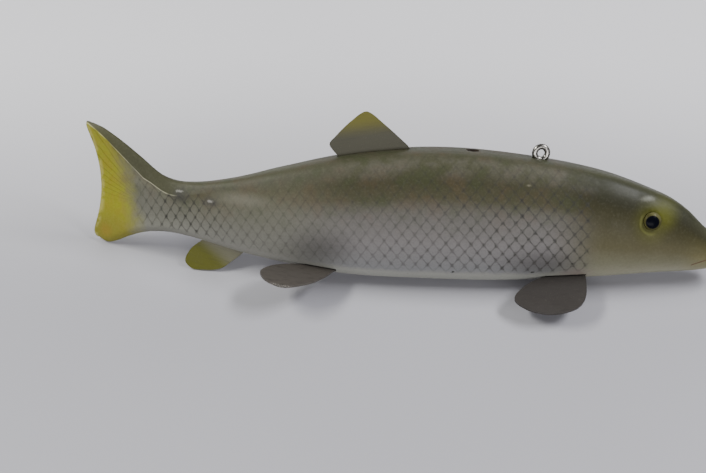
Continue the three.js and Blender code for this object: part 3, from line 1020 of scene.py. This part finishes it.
@dataclass
class TinFin:
    """Fin of sheet metal whose tab sits in a saw kerf of the body, in millimetres.

    Attributes:
        name: CAD node that it stands for.
        side: Side of the fish.
        root: Length of the root.
        reach: Reach out of the body.
        at, angle: Station and angle of the root on the body.
        droop: Bend down at the root, in degrees.
        rests: Whether it is bent to lie on the table instead.
        outline: Edge from the front of the root to its rear, as shares of root and reach.
        paint: Finish.
        thickness, tab: Thickness of the sheet and length of its hidden tab.
        crease_start, crease_radius, crease_steps: Where and how roundly the sheet is bent.
        columns, rows: Fineness of the sheet.
        tip_row: Height of the last row, as a share of the tip's.
        wave, wave_phase: Height of the sheet's slight ripple and where it starts.
        waves_along, waves_out, waves_across: How close its waves are.
        rounding: Rounding of the cut edge.
        lying: Height over the table at which a resting fin lies.
        steepest: Steepest bend that is tried, in degrees.
    """

    name: str
    side: Side
    root: float
    reach: float
    at: float
    angle: float
    droop: float
    outline: tuple[Pair, ...]
    paint: FinPaint
    rests: bool = False
    thickness: float = 0.8
    tab: float = 5.0
    crease_start: float = 1.0
    crease_radius: float = 1.0
    crease_steps: int = 3
    columns: int = 28
    rows: int = 26
    tip_row: float = 0.9985
    wave: float = 0.12
    wave_phase: float = 0.8
    waves_along: float = 0.45
    waves_out: float = 0.38
    waves_across: float = 0.2
    rounding: float = 0.22
    lying: float = 0.18
    steepest: float = 60.0

    def edge(self, steps: int = 24) -> list[Pair]:
        """Smooth edge through the outline, by centripetal spans, in millimetres."""
        knots = [Vector((a * self.root, b * self.reach)) for a, b in self.outline]
        knots = [2 * knots[0] - knots[1], *knots, 2 * knots[-1] - knots[-2]]
        points: list[Pair] = []
        for a, b, c, d in zip(knots, knots[1:], knots[2:], knots[3:]):
            t0 = 0.0
            t1 = t0 + math.sqrt((b - a).length)
            t2 = t1 + math.sqrt((c - b).length)
            t3 = t2 + math.sqrt((d - c).length)
            for step in range(steps):
                t = blend(t1, t2, step / steps)
                ab = a.lerp(b, (t - t0) / (t1 - t0))
                bc = b.lerp(c, (t - t1) / (t2 - t1))
                cd = c.lerp(d, (t - t2) / (t3 - t2))
                abc = ab.lerp(bc, (t - t0) / (t2 - t0))
                bcd = bc.lerp(cd, (t - t1) / (t3 - t1))
                points.append(tuple(abc.lerp(bcd, (t - t1) / (t2 - t1))))
        points.append(tuple(knots[-2]))
        return points

    def rows_of_sheet(self) -> list[Triple]:
        """Rows of the flat sheet from the foot of the tab to the tip.

        Returns:
            Height of each row and the ends of the sheet there.
        """
        edge = self.edge()
        tip = max(y for _, y in edge)
        half = self.root / 2
        rows = [(-self.tab, -half, half), (0.0, -half, half)]
        crease = abs(math.radians(self.droop)) * self.crease_radius
        steps = self.crease_steps if crease else 0
        heights = [self.crease_start + crease * step / max(steps, 1) for step in range(steps + 1)]
        start = heights[-1]
        for row in range(1, self.rows + 1):
            heights.append(blend(start, tip * self.tip_row, math.sin(row / self.rows * math.pi / 2)))
        for height in heights:
            crossings = [
                blend(a[0], b[0], (height - a[1]) / (b[1] - a[1]))
                for a, b in zip(edge, edge[1:])
                if (a[1] > height) != (b[1] > height)
            ]
            rows.append((height, min(crossings), max(crossings)))
        return rows

    def cut_sheet(self) -> Piece:
        """Cuts the flat sheet: a strip for the tab, extruded row by row and fitted to the outline."""
        rows = self.rows_of_sheet()
        put_down_everything()
        bpy.ops.mesh.primitive_grid_add(x_subdivisions=self.columns, y_subdivisions=1, size=1)
        sheet = name_new(self.name + "_tin")
        foot, first, last = rows[0]
        height = rows[1][0] - foot
        with bench(sheet):
            bpy.ops.mesh.select_all(action="SELECT")
            bpy.ops.transform.resize(value=(last - first, height, 1), center_override=(0, 0, 0))
            bpy.ops.transform.translate(value=((first + last) / 2, foot + height / 2, 0))
        top = rows[1][0] - 1e-4
        pick(sheet, "EDGE", lambda edge: all(sheet.data.vertices[v].co.y > top for v in edge.vertices))
        with bench(sheet):
            for (y, first, last), (next_y, next_first, next_last) in zip(rows[1:], rows[2:]):
                middle = (next_first + next_last) / 2
                step = (middle - (first + last) / 2, next_y - y, 0)
                bpy.ops.mesh.extrude_region_move(TRANSFORM_OT_translate={"value": step})
                widen = (next_last - next_first) / (last - first)
                bpy.ops.transform.resize(value=(widen, 1, 1), center_override=(middle, next_y, 0))
        return sheet

    def lay_paint(self, sheet: Piece) -> None:
        """Lays the flat sheet out in its UV map, by share of root and reach."""
        mesh = sheet.data
        layer = mesh.uv_layers[0] if mesh.uv_layers else mesh.uv_layers.new()
        layer.name = "sheet"
        for loop, item in zip(mesh.loops, layer.data):
            place = mesh.vertices[loop.vertex_index].co
            item.uv = (place.x / self.root, place.y / self.reach)

    def folded(self, place: Vector, degrees: float) -> Vector:
        """Place of a point of the flat sheet once the blade is bent about the crease by its root."""
        turn = math.radians(degrees)
        crease = abs(turn) * self.crease_radius
        turned = turn * min(1.0, max(0.0, (place.y - self.crease_start) / max(crease, 1e-9)))
        after = max(0.0, place.y - self.crease_start - crease)
        out = min(place.y, self.crease_start) + self.crease_radius * math.sin(abs(turned))
        out += after * math.cos(turned) + place.z * math.sin(turned)
        up = -math.copysign(self.crease_radius * (1 - math.cos(turned)), turn) - after * math.sin(turned)
        return Vector((place.x, out, up + place.z * math.cos(turned)))

    def rest(self) -> float:
        """Bend at which the blade just lies on the table."""
        place = FISH_TO_TABLE @ self.frame()
        corners = [Vector((x, y, -self.thickness / 2)) for x, y in self.edge() if y > 0]

        def clear(bend: float) -> bool:
            """Whether the blade is still over the table at a bend."""
            return min((place @ self.folded(corner, bend)).z for corner in corners) > self.lying * MM

        return halve(-self.steepest, self.steepest, clear)

    def frame(self) -> Matrix:
        """Matrix from the flat sheet's frame to the fish's frame."""
        degrees = self.angle * self.side.value
        origin = FORM.point(self.at, degrees)
        along, _ = FORM.tangents(self.at, degrees)
        level = 0 < self.angle < 180
        upright = Vector((0, 0, -1 if self.angle > 0 else 1))
        out = Vector((0, self.side.value, 0)) if level else upright
        out = (out - along * out.dot(along)).normalized()
        face = along.cross(out) * (-1 if level and self.side is Side.LEFT else 1)
        turn = Matrix((along, out, face)).transposed().to_4x4()
        return Matrix.Translation(origin) @ turn

    def ripple(self, place: Vector) -> float:
        """Height of the sheet's slight ripple, which grows from the crease outwards."""
        free = ease(place.y, self.crease_start, self.reach)
        along = math.sin(place.x * self.waves_along + self.wave_phase)
        across = math.sin(place.y * self.waves_out + place.x * self.waves_across)
        return self.wave * free * (along + across)

    def build(self) -> Piece:
        """Makes the finished fin in its place."""
        sheet = self.cut_sheet()
        self.lay_paint(sheet)
        bend = self.rest() if self.rests else self.droop
        for vertex in sheet.data.vertices:
            vertex.co.z += self.ripple(vertex.co)
            vertex.co = self.folded(vertex.co, bend)
        apply_modifier(sheet, "SOLIDIFY", thickness=self.thickness, offset=0.0, use_rim=True)
        bevel(sheet, self.rounding, 50)
        sheet.data.transform(FISH_TO_TABLE @ self.frame())
        face_outwards(sheet)
        soften(sheet, 40)
        coat(sheet, self.paint.material())
        hand_over(sheet, "fin_tin", self.name)
        return sheet


DORSAL_EDGE = (
    (-0.515, 0), (-0.21, 0.61), (-0.01, 0.965), (0.057, 1), (0.28, 0.78), (0.498, 0.47), (0.592, 0.3),
    (0.5, 0),
)
ANAL_EDGE = (
    (-0.5, 0), (-0.31, 0.36), (-0.08, 0.74), (0.37, 0.97), (0.56, 1), (0.75, 0.83), (0.71, 0.42),
    (0.5, 0),
)
PECTORAL_EDGE = (
    (-0.5, 0), (-0.46, 0.3), (-0.34, 0.64), (-0.04, 0.9), (0.45, 1), (1.05, 0.9), (1.4, 0.59),
    (1.06, 0.25), (0.5, 0),
)
PELVIC_EDGE = (
    (-0.5, 0), (-0.18, 0.44), (0.35, 0.83), (0.95, 1), (1.5, 0.88), (1.8, 0.58), (1.55, 0.3), (1, 0.1),
    (0.5, 0),
)


# Screw eye


@dataclass
class LineTie:
    """Screw eye in the back: wire bent to a ring on a pointed, threaded shank, in millimetres.

    Attributes:
        at: Station of the ring's middle.
        ring: Width of the ring along the middle of its wire.
        wire: Thickness of the wire.
        shank, point: Length of the shank and of its point.
        tip, start: Girth of the point's end, and the share of the point where the thread starts.
        neck: Plain length of the shank under the ring.
        sunk: How deep the ring sits in the wood.
        turn: Turn of the ring about its shank, in degrees.
        gap: Gap that shows round it in the wood.
        threads, groove: Number of threads and their depth as a share of the radius.
        bend, bend_steps: Angles between which the wire is bent to the ring, and in how many steps.
        spring, sprung: How far the ring's start stands out, and over which share of the ring.
        grain: Size of the voxels that join thread and ring.
    """

    at: float = 0.3088
    ring: float = 4.95
    wire: float = 2.3
    shank: float = 12.0
    point: float = 3.0
    tip: float = 0.08
    start: float = 0.3
    neck: float = 2.2
    sunk: float = 1.4
    turn: float = 6.0
    gap: float = 0.25
    threads: int = 7
    groove: float = 0.16
    bend: Pair = (-90.0, 262.0)
    bend_steps: int = 64
    spring: float = 0.12
    sprung: float = 0.1
    grain: float = 0.12

    def centre(self) -> Vector:
        """Middle of the ring in the fish's frame."""
        return FORM.point(self.at, 0) + Vector((0, 0, (self.ring + self.wire) / 2 - self.sunk))

    def frame(self) -> Matrix:
        """Matrix from the tie's own frame, its ring upright in xz, to the fish's frame."""
        return Matrix.Translation(self.centre()) @ Matrix.Rotation(math.radians(self.turn), 4, "Z")

    def path(self) -> list[tuple[Vector, float]]:
        """Middle of the wire from the shank's point round the ring to the butt end, with its girth."""
        radius = self.ring / 2
        foot = -radius - self.wire / 2 - self.shank
        points = [(Vector((0, 0, foot)), self.tip)]
        steps = self.threads * 6
        for step in range(steps + 1):
            height = blend(foot + self.point * self.start, -radius - self.neck, step / steps)
            girth = min(1.0, (height - foot) / self.point) * (1 - self.groove * (step % 2))
            points.append((Vector((0, 0, height)), girth))
        for step in range(self.bend_steps + 1):
            share = step / self.bend_steps
            angle = math.radians(blend(*self.bend, share))
            spread = radius + self.spring * (1 - ease(share, 0.0, self.sprung))
            points.append((Vector((spread * math.cos(angle), 0, spread * math.sin(angle))), 1.0))
        return points

    def cutter(self) -> Piece:
        """Ring grown by the gap that shows round it in the wood."""
        put_down_everything()
        thick = self.wire / 2 + self.gap
        upright = (math.pi / 2, 0, 0)
        bpy.ops.mesh.primitive_torus_add(major_radius=self.ring / 2, minor_radius=thick, rotation=upright)
        bpy.ops.object.transform_apply(rotation=True)
        return set_cutter("tie_socket", FISH_TO_TABLE @ self.frame())

    def build(self) -> Piece:
        """Makes the finished screw eye in its place."""
        tie = tube("line_tie_wire", self.path(), self.wire / 2, 6)
        tie.data.transform(FISH_TO_TABLE @ self.frame())
        face_outwards(tie)
        apply_modifier(tie, "REMESH", mode="VOXEL", voxel_size=self.grain * MM)
        apply_modifier(tie, "SMOOTH", factor=0.5, iterations=3)
        soften(tie, 60)
        coat(tie, TieSteel().material())
        hand_over(tie, "tie_steel", "line_tie")
        return tie


# Glass eyes


@dataclass
class FishEye:
    """Glass eye in a round socket, in millimetres.

    Attributes:
        side: Side of the fish.
        at, angle: Station and angle of its middle on the body.
        diameter, dome: Width of the glass and height of its dome.
        seat, step: Depth of its seat, and how much narrower that is than the dome.
        gap: Gap round the glass.
        rounding: Rounding of its edge.
        lift: How far its rim stands out of the wood.
    """

    side: Side
    at: float = 0.144
    angle: float = 70.0
    diameter: float = 7.0
    dome: float = 1.6
    seat: float = 2.4
    step: float = 0.15
    gap: float = 0.02
    rounding: float = 0.05
    lift: float = 0.15

    @property
    def name(self) -> str:
        """CAD node that the eye stands for."""
        return "eye_" + self.side.name.lower()

    def centre(self) -> Vector:
        """Middle of the rim in the fish's frame."""
        return FORM.point(self.at, self.angle * self.side.value)

    def frame(self) -> Matrix:
        """Matrix from the eye's own frame, with its dome towards +z, to the fish's frame."""
        degrees = self.angle * self.side.value
        _, out = FORM.tangents(self.at, degrees)
        facing = out if out.y * self.side.value > 0 else -out
        return Matrix.Translation(self.centre()) @ facing.to_track_quat("Z", "Y").to_matrix().to_4x4()

    def cutter(self) -> Piece:
        """Round socket with a small gap round the glass."""
        put_down_everything()
        depth = 2 * (self.seat + self.gap)
        bpy.ops.mesh.primitive_cylinder_add(vertices=64, radius=self.diameter / 2 + self.gap, depth=depth)
        return set_cutter(self.name + "_socket", FISH_TO_TABLE @ self.frame())

    def build(self) -> Piece:
        """Makes the finished eye in its place."""
        put_down_everything()
        bpy.ops.mesh.primitive_uv_sphere_add(segments=64, ring_count=40, radius=self.diameter / 2)
        eye = name_new(self.name + "_glass")
        with bench(eye):
            bpy.ops.mesh.select_all(action="SELECT")
            bpy.ops.mesh.bisect(plane_co=(0, 0, 0), plane_no=(0, 0, 1), use_fill=True, clear_inner=True)
            bpy.ops.mesh.select_all(action="SELECT")
            flatter = self.dome / (self.diameter / 2)
            bpy.ops.transform.resize(value=(1, 1, flatter), center_override=(0, 0, 0))
        pick(eye, "FACE", lambda face: face.normal.z < -0.9)
        with bench(eye):
            bpy.ops.mesh.inset(thickness=self.step)
            bpy.ops.mesh.extrude_region_move(TRANSFORM_OT_translate={"value": (0, 0, -self.seat)})
        bevel(eye, self.rounding, 60)
        eye.data.transform(FISH_TO_TABLE @ self.frame() @ Matrix.Translation((0, 0, self.lift)))
        face_outwards(eye)
        soften(eye, 50)
        coat(eye, EyeGlass().material(self.centre(), self.name + "_glass"))
        hand_over(eye, "eye_glass", self.name)
        return eye


# Body


@dataclass
class CarvedBody:
    """Carved wooden body with its kerfs, sockets, hole and mouth line.

    Attributes:
        fins: Fins whose tabs it holds.
        tie: Screw eye in its back.
        eyes: Glass eyes.
        rings, sides: Fineness of the skin along and round the body.
        crowding: How much closer the rings are at both ends.
        tail_end, tail_end_rings: Length and fineness of the tail's rounded end.
        kerf_gap: Gap round a fin's tab.
        hole_at, hole_diameter, hole_depth: Blind hole in the back.
        mouth_start, mouth_corner, mouth_rise, mouth_bend: Line of the mouth from the tip to its corner.
        mouth_search: Angles round the body between which the mouth is looked for.
        mouth_radius, mouth_steps, mouth_crowding: Roundness of the groove, and its fineness on each side.
        dish_depth, dish_radius, dish_edge: Dished wood round the eyes, with the slope at its edge.
        dish_shift: Middle of the dish from the eye's.
        snout_edge: Angle of the edge beside the snout's flat top, by station.
        snout_flat, snout_crown: Stations over which the flat fades, and how much it is crowned.
        snout_line: Station up to which the paint follows the snout's edge and not the tail's ridge.
        ridge_scale: Size of a millimetre in the paint's map of the ridge.
    """

    fins: Sequence[TinFin]
    tie: LineTie
    eyes: Sequence[FishEye]
    rings: int = 330
    sides: int = 160
    crowding: float = 0.55
    tail_end: float = 0.7
    tail_end_rings: int = 5
    kerf_gap: float = 0.3
    hole_at: float = 0.412
    hole_diameter: float = 5.2
    hole_depth: float = 6.0
    mouth_start: float = -0.4
    mouth_corner: Pair = (-19.0, 9.3)
    mouth_rise: float = 5.2
    mouth_bend: float = 9.0
    mouth_search: Pair = (20.0, 178.0)
    mouth_radius: float = 0.27
    mouth_steps: int = 40
    mouth_crowding: float = 1.5
    dish_depth: float = 0.28
    dish_radius: float = 4.9
    dish_edge: float = 0.8
    dish_shift: Triple = (-0.5, 0.0, -0.5)
    snout_edge: tuple[Pair, ...] = ((0.0, 34.0), (0.054, 23.0), (0.072, 18.0), (0.13, 14.0))
    snout_flat: Pair = (0.125, 0.085)
    snout_crown: float = 0.12
    snout_line: float = 0.2
    ridge_scale: float = 0.1

    def stations(self) -> list[Pair]:
        """Station of each ring and how far the tail's rounded end has closed there."""
        found = []
        for ring in range(self.rings + 1):
            share = ring / self.rings
            eased = (1 - math.cos(share * math.pi)) / 2
            found.append((blend(share, eased, self.crowding), 0.0))
        for ring in range(1, self.tail_end_rings + 1):
            found.append((1.0, ring / self.tail_end_rings))
        return found

    def angle_round(self, section: Section, turn: float) -> float:
        """Angle on the section for a mesh angle, so that one line of the mesh follows the ridge."""
        size = abs(turn)
        if size <= RIDGE_TURN:
            size = size * section.ridge / RIDGE_TURN
        else:
            size = section.ridge + (size - RIDGE_TURN) * (180 - section.ridge) / (180 - RIDGE_TURN)
        return math.copysign(size, turn)

    def snout_edge_angle(self, at: float) -> float:
        """Angle of the edge beside the snout's flat top."""
        (start, first), *rest = self.snout_edge
        for end, last in rest:
            if at < end:
                return blend(first, last, (at - start) / (end - start))
            start, first = end, last
        return first

    def skin(self, at: float, closed: float, degrees: float) -> Vector:
        """Point on the finished skin, with the dished eye sockets and the tail's rounded end."""
        place = FORM.point(at, degrees)
        if closed:
            turn = closed * math.pi / 2
            middle = FORM.middle_line(at)
            place.y = middle + (place.y - middle) * math.cos(turn)
            place.x -= self.tail_end * math.sin(turn)
            return place
        flat = ease(at, *self.snout_flat) if at < self.snout_flat[0] else 0.0
        edge = self.snout_edge_angle(at)
        if flat and abs(degrees) < edge:
            level = FORM.point(at, edge).z + self.snout_crown * (1 - (degrees / edge) ** 2)
            place.z = blend(place.z, level, flat)
        for eye in self.eyes:
            away = (place - eye.centre() - Vector(self.dish_shift)).length
            if away < self.dish_radius:
                dish = ease(away, self.dish_radius, self.dish_radius - self.dish_edge)
                place.y -= eye.side.value * self.dish_depth * dish
        return place

    def carve(self) -> Piece:
        """Rolls a fine sheet round the stations and closes it to the carved body."""
        stations = self.stations()
        put_down_everything()
        rows = len(stations) - 1
        bpy.ops.mesh.primitive_grid_add(x_subdivisions=rows, y_subdivisions=self.sides, size=1)
        body = name_new("body_wood")
        mesh = body.data
        lay = mesh.uv_layers[0]
        lay.name = "lay"
        ridge = mesh.uv_layers.new(name="ridge")
        places: list[Pair] = []
        heights: list[Pair] = []
        for vertex in mesh.vertices:
            at, closed = stations[round((vertex.co.x + 0.5) * rows)]
            turn = 360 * (round((vertex.co.y + 0.5) * self.sides) / self.sides - 0.5)
            section = FORM.section(at)
            degrees = self.angle_round(section, turn)
            vertex.co = self.skin(at, closed, degrees)
            places.append((at, abs(degrees) / 180))
            line = FORM.power(math.cos(math.radians(section.ridge)))
            height = FORM.power(math.cos(math.radians(degrees))) - line
            if at < self.snout_line:
                height = math.radians(self.snout_edge_angle(at) - abs(degrees))
            heights.append((height * section.tall * self.ridge_scale, 1.0 if degrees > 0 else 0.0))
        for loop, item, item_ridge in zip(mesh.loops, lay.data, ridge.data):
            item.uv = places[loop.vertex_index]
            item_ridge.uv = heights[loop.vertex_index]
        mesh.transform(FISH_TO_TABLE)
        face_outwards(body)
        return body

    def kerf(self, fin: TinFin) -> Piece:
        """Saw kerf for a fin's tab."""
        put_down_everything()
        bpy.ops.mesh.primitive_cube_add(size=1)
        deep = fin.tab + self.kerf_gap
        size = (fin.root + 2 * self.kerf_gap, 2 * deep, fin.thickness + 2 * self.kerf_gap)
        return set_cutter(fin.name + "_kerf", FISH_TO_TABLE @ fin.frame() @ Matrix.Diagonal((*size, 1)))

    def hole(self) -> Piece:
        """Blind hole in the back."""
        put_down_everything()
        radius = self.hole_diameter / 2
        bpy.ops.mesh.primitive_cylinder_add(vertices=48, radius=radius, depth=2 * self.hole_depth)
        return set_cutter("back_hole", FISH_TO_TABLE @ Matrix.Translation(FORM.point(self.hole_at, 0)))

    def mouth(self) -> Piece:
        """Round groove along the mouth, from one corner round the snout to the other."""
        corner_x, corner_z = self.mouth_corner

        def height(x: float) -> float:
            """Height of the mouth at a place along the snout."""
            return corner_z + self.mouth_rise * (1 - math.exp((corner_x - x) / self.mouth_bend))

        points = []
        for step in range(-self.mouth_steps, self.mouth_steps + 1):
            x = blend(self.mouth_start, corner_x, (abs(step) / self.mouth_steps) ** self.mouth_crowding)
            at = -x / FORM.length
            angle = halve(*self.mouth_search, lambda angle: FORM.point(at, angle).z > height(x))
            points.append((FORM.point(at, math.copysign(angle, step)), 1.0))
        groove = tube("mouth_groove", points, self.mouth_radius, 3)
        groove.data.transform(FISH_TO_TABLE)
        face_outwards(groove)
        return groove

    def cut(self, body: Piece) -> None:
        """Cuts every kerf, socket and hole out of the body."""
        # Near-black soiled wood in the kerfs, the screw eye's socket and the back hole, darkened as
        # painted shade of the deep cuts.
        deep = CutWood("shaded_cut_wood", (28, 24, 20), (58, 44, 32)).material()
        shallow = CutWood("mouth_wood", (70, 48, 34), (92, 68, 50)).material()
        olive = CutWood("socket_wood", (66, 66, 38), (74, 72, 42)).material()
        cutters = [(self.kerf(fin), deep) for fin in self.fins]
        cutters += [(self.tie.cutter(), deep), (self.hole(), deep)]
        cutters += [(eye.cutter(), olive) for eye in self.eyes]
        cutters.append((self.mouth(), shallow))
        for cutter, lining in cutters:
            coat(cutter, lining)
            apply_modifier(
                body, "BOOLEAN", object=cutter, operation="DIFFERENCE", solver="EXACT",
                material_mode="TRANSFER",
            )
            bpy.data.objects.remove(cutter)

    def build(self) -> Piece:
        """Makes the finished body in its place."""
        body = self.carve()
        coat(body, BodyPaint().material())
        self.cut(body)
        soften(body, 28)
        hand_over(body, "body_paint", "body")
        return body


# Studio


@dataclass(frozen=True)
class Lamp:
    """Soft rectangular lamp that faces the decoy.

    Attributes:
        name: What it is.
        place: Where it hangs, in metres.
        size: Its length, level, and its width, in metres.
        power: Its power in watts.
        colour: Its colour.
    """

    name: str
    place: Triple
    size: Pair
    power: float
    colour: Triple

    def hang(self) -> None:
        """Hangs the lamp."""
        put_down_everything()
        bpy.ops.object.light_add(type="AREA", location=self.place)
        lamp = bpy.context.object
        lamp.name = self.name
        lamp.data.shape = "RECTANGLE"
        lamp.data.size, lamp.data.size_y = self.size
        lamp.data.energy = self.power
        lamp.data.color = self.colour
        lamp.rotation_euler = (-Vector(self.place)).to_track_quat("-Z", "Y").to_euler()


@dataclass
class Studio:
    """Table, soft lights and the camera at the photograph's angle.

    Attributes:
        azimuth, elevation: Way that the camera looks from, in degrees.
        distance: Distance to what it looks at, in millimetres.
        focus: Focal length in pixels of the photo.
        sensor: Width of the camera's sensor, in millimetres.
        target: Place at the middle of the picture, in millimetres.
        table_size: Size of the table, in metres.
        daylight, room_light: Colour and strength of the room's even light.
        lamps: The lamps.
    """

    azimuth: float = 2.0
    elevation: float = 38.0
    distance: float = 390.0
    focus: float = 975.0
    sensor: float = 36.0
    target: Triple = (-20.27, -0.53, 16.21)
    table_size: float = 4.0
    daylight: Triple = (0.98, 0.98, 1.0)
    room_light: float = 0.15
    lamps: tuple[Lamp, ...] = (
        Lamp("right_lamp", (0.95, 0.0, 1.05), (0.8, 0.25), 23.5, (0.97, 0.975, 1.0)),
        Lamp("left_lamp", (-1.0, 0.0, 1.05), (0.8, 0.25), 23.5, (0.99, 1.0, 0.95)),
        Lamp("front_lamp", (0.0, -1.35, 0.38), (1.8, 0.4), 22.0, daylight),
        Lamp("back_lamp", (0.0, 1.4, 0.5), (1.8, 0.4), 6.0, daylight),
    )

    def table(self) -> None:
        """Lays the table top under the decoy."""
        put_down_everything()
        bpy.ops.mesh.primitive_plane_add(size=self.table_size)
        top = name_new("table_top")
        coat(top, TableTop().material())

    def lights(self) -> None:
        """Hangs the lamps and sets the room's even light."""
        for lamp in self.lamps:
            lamp.hang()
        world = bpy.data.worlds.new("room")
        bpy.context.scene.world = world
        world.use_nodes = True
        backdrop = next(n for n in world.node_tree.nodes if n.type == "BACKGROUND")
        backdrop.inputs["Color"].default_value = (*self.daylight, 1)
        backdrop.inputs["Strength"].default_value = self.room_light

    def camera(self) -> None:
        """Sets the camera."""
        azimuth, elevation = math.radians(self.azimuth), math.radians(self.elevation)
        back = Vector((
            math.sin(azimuth) * math.cos(elevation),
            -math.cos(azimuth) * math.cos(elevation),
            math.sin(elevation),
        ))
        put_down_everything()
        bpy.ops.object.camera_add(location=(Vector(self.target) + back * self.distance) * MM)
        camera = bpy.context.object
        camera.name = "photo_camera"
        camera.rotation_euler = (-back).to_track_quat("-Z", "Y").to_euler()
        camera.data.lens = self.focus * self.sensor / PHOTO_WIDTH
        camera.data.sensor_width = self.sensor
        camera.data.clip_start = 0.01
        bpy.context.scene.camera = camera

    def build(self) -> None:
        """Sets up the whole studio."""
        self.camera()
        self.table()
        self.lights()


def fins_of_the_fish() -> list[TinFin]:
    """All six fins: the dorsal and the anal fin, then the paired ones, right before left."""
    dorsal = FinPaint("dorsal_paint", (50, 48, 34), (77, 73, 3), 0.36, 0.85)
    anal = FinPaint("anal_paint", (86, 84, 68), (66, 66, 4), 0.1, 0.65, 0.6)
    pectoral = FinPaint("pectoral_paint", (46, 43, 41), (49, 46, 44))
    pelvic = FinPaint("pelvic_paint", (62, 58, 54), (66, 62, 58), streaks=0.75, chips=0.5)
    fins = [
        TinFin("dorsal_fin", Side.LEFT, 28.2, 15.9, 0.563, 0, 0, DORSAL_EDGE, dorsal),
        TinFin("anal_fin", Side.LEFT, 18, 12.6, 0.799, 180, -17, ANAL_EDGE, anal),
    ]
    for side in Side:
        end = side.name.lower()
        rests = side is Side.LEFT
        fins.append(TinFin(
            "pectoral_fin_" + end, side, 15.5, 21.2, 0.2645, 152, 25, PECTORAL_EDGE, pectoral, rests
        ))
        fins.append(TinFin(
            "pelvic_fin_" + end, side, 12, 20.6, 0.6414, 152, 10, PELVIC_EDGE, pelvic, rests
        ))
    return fins


def main() -> None:
    """Builds the decoy piece by piece and then the studio round it."""
    logging.basicConfig(level=logging.INFO, format="%(name)s: %(message)s")
    eyes = [FishEye(side) for side in Side]
    tie = LineTie()
    fins = fins_of_the_fish()
    CarvedBody(fins, tie, eyes).build()
    for piece in (*fins, tie, *eyes):
        piece.build()
    Studio().build()


if __name__ == "__main__":
    main()
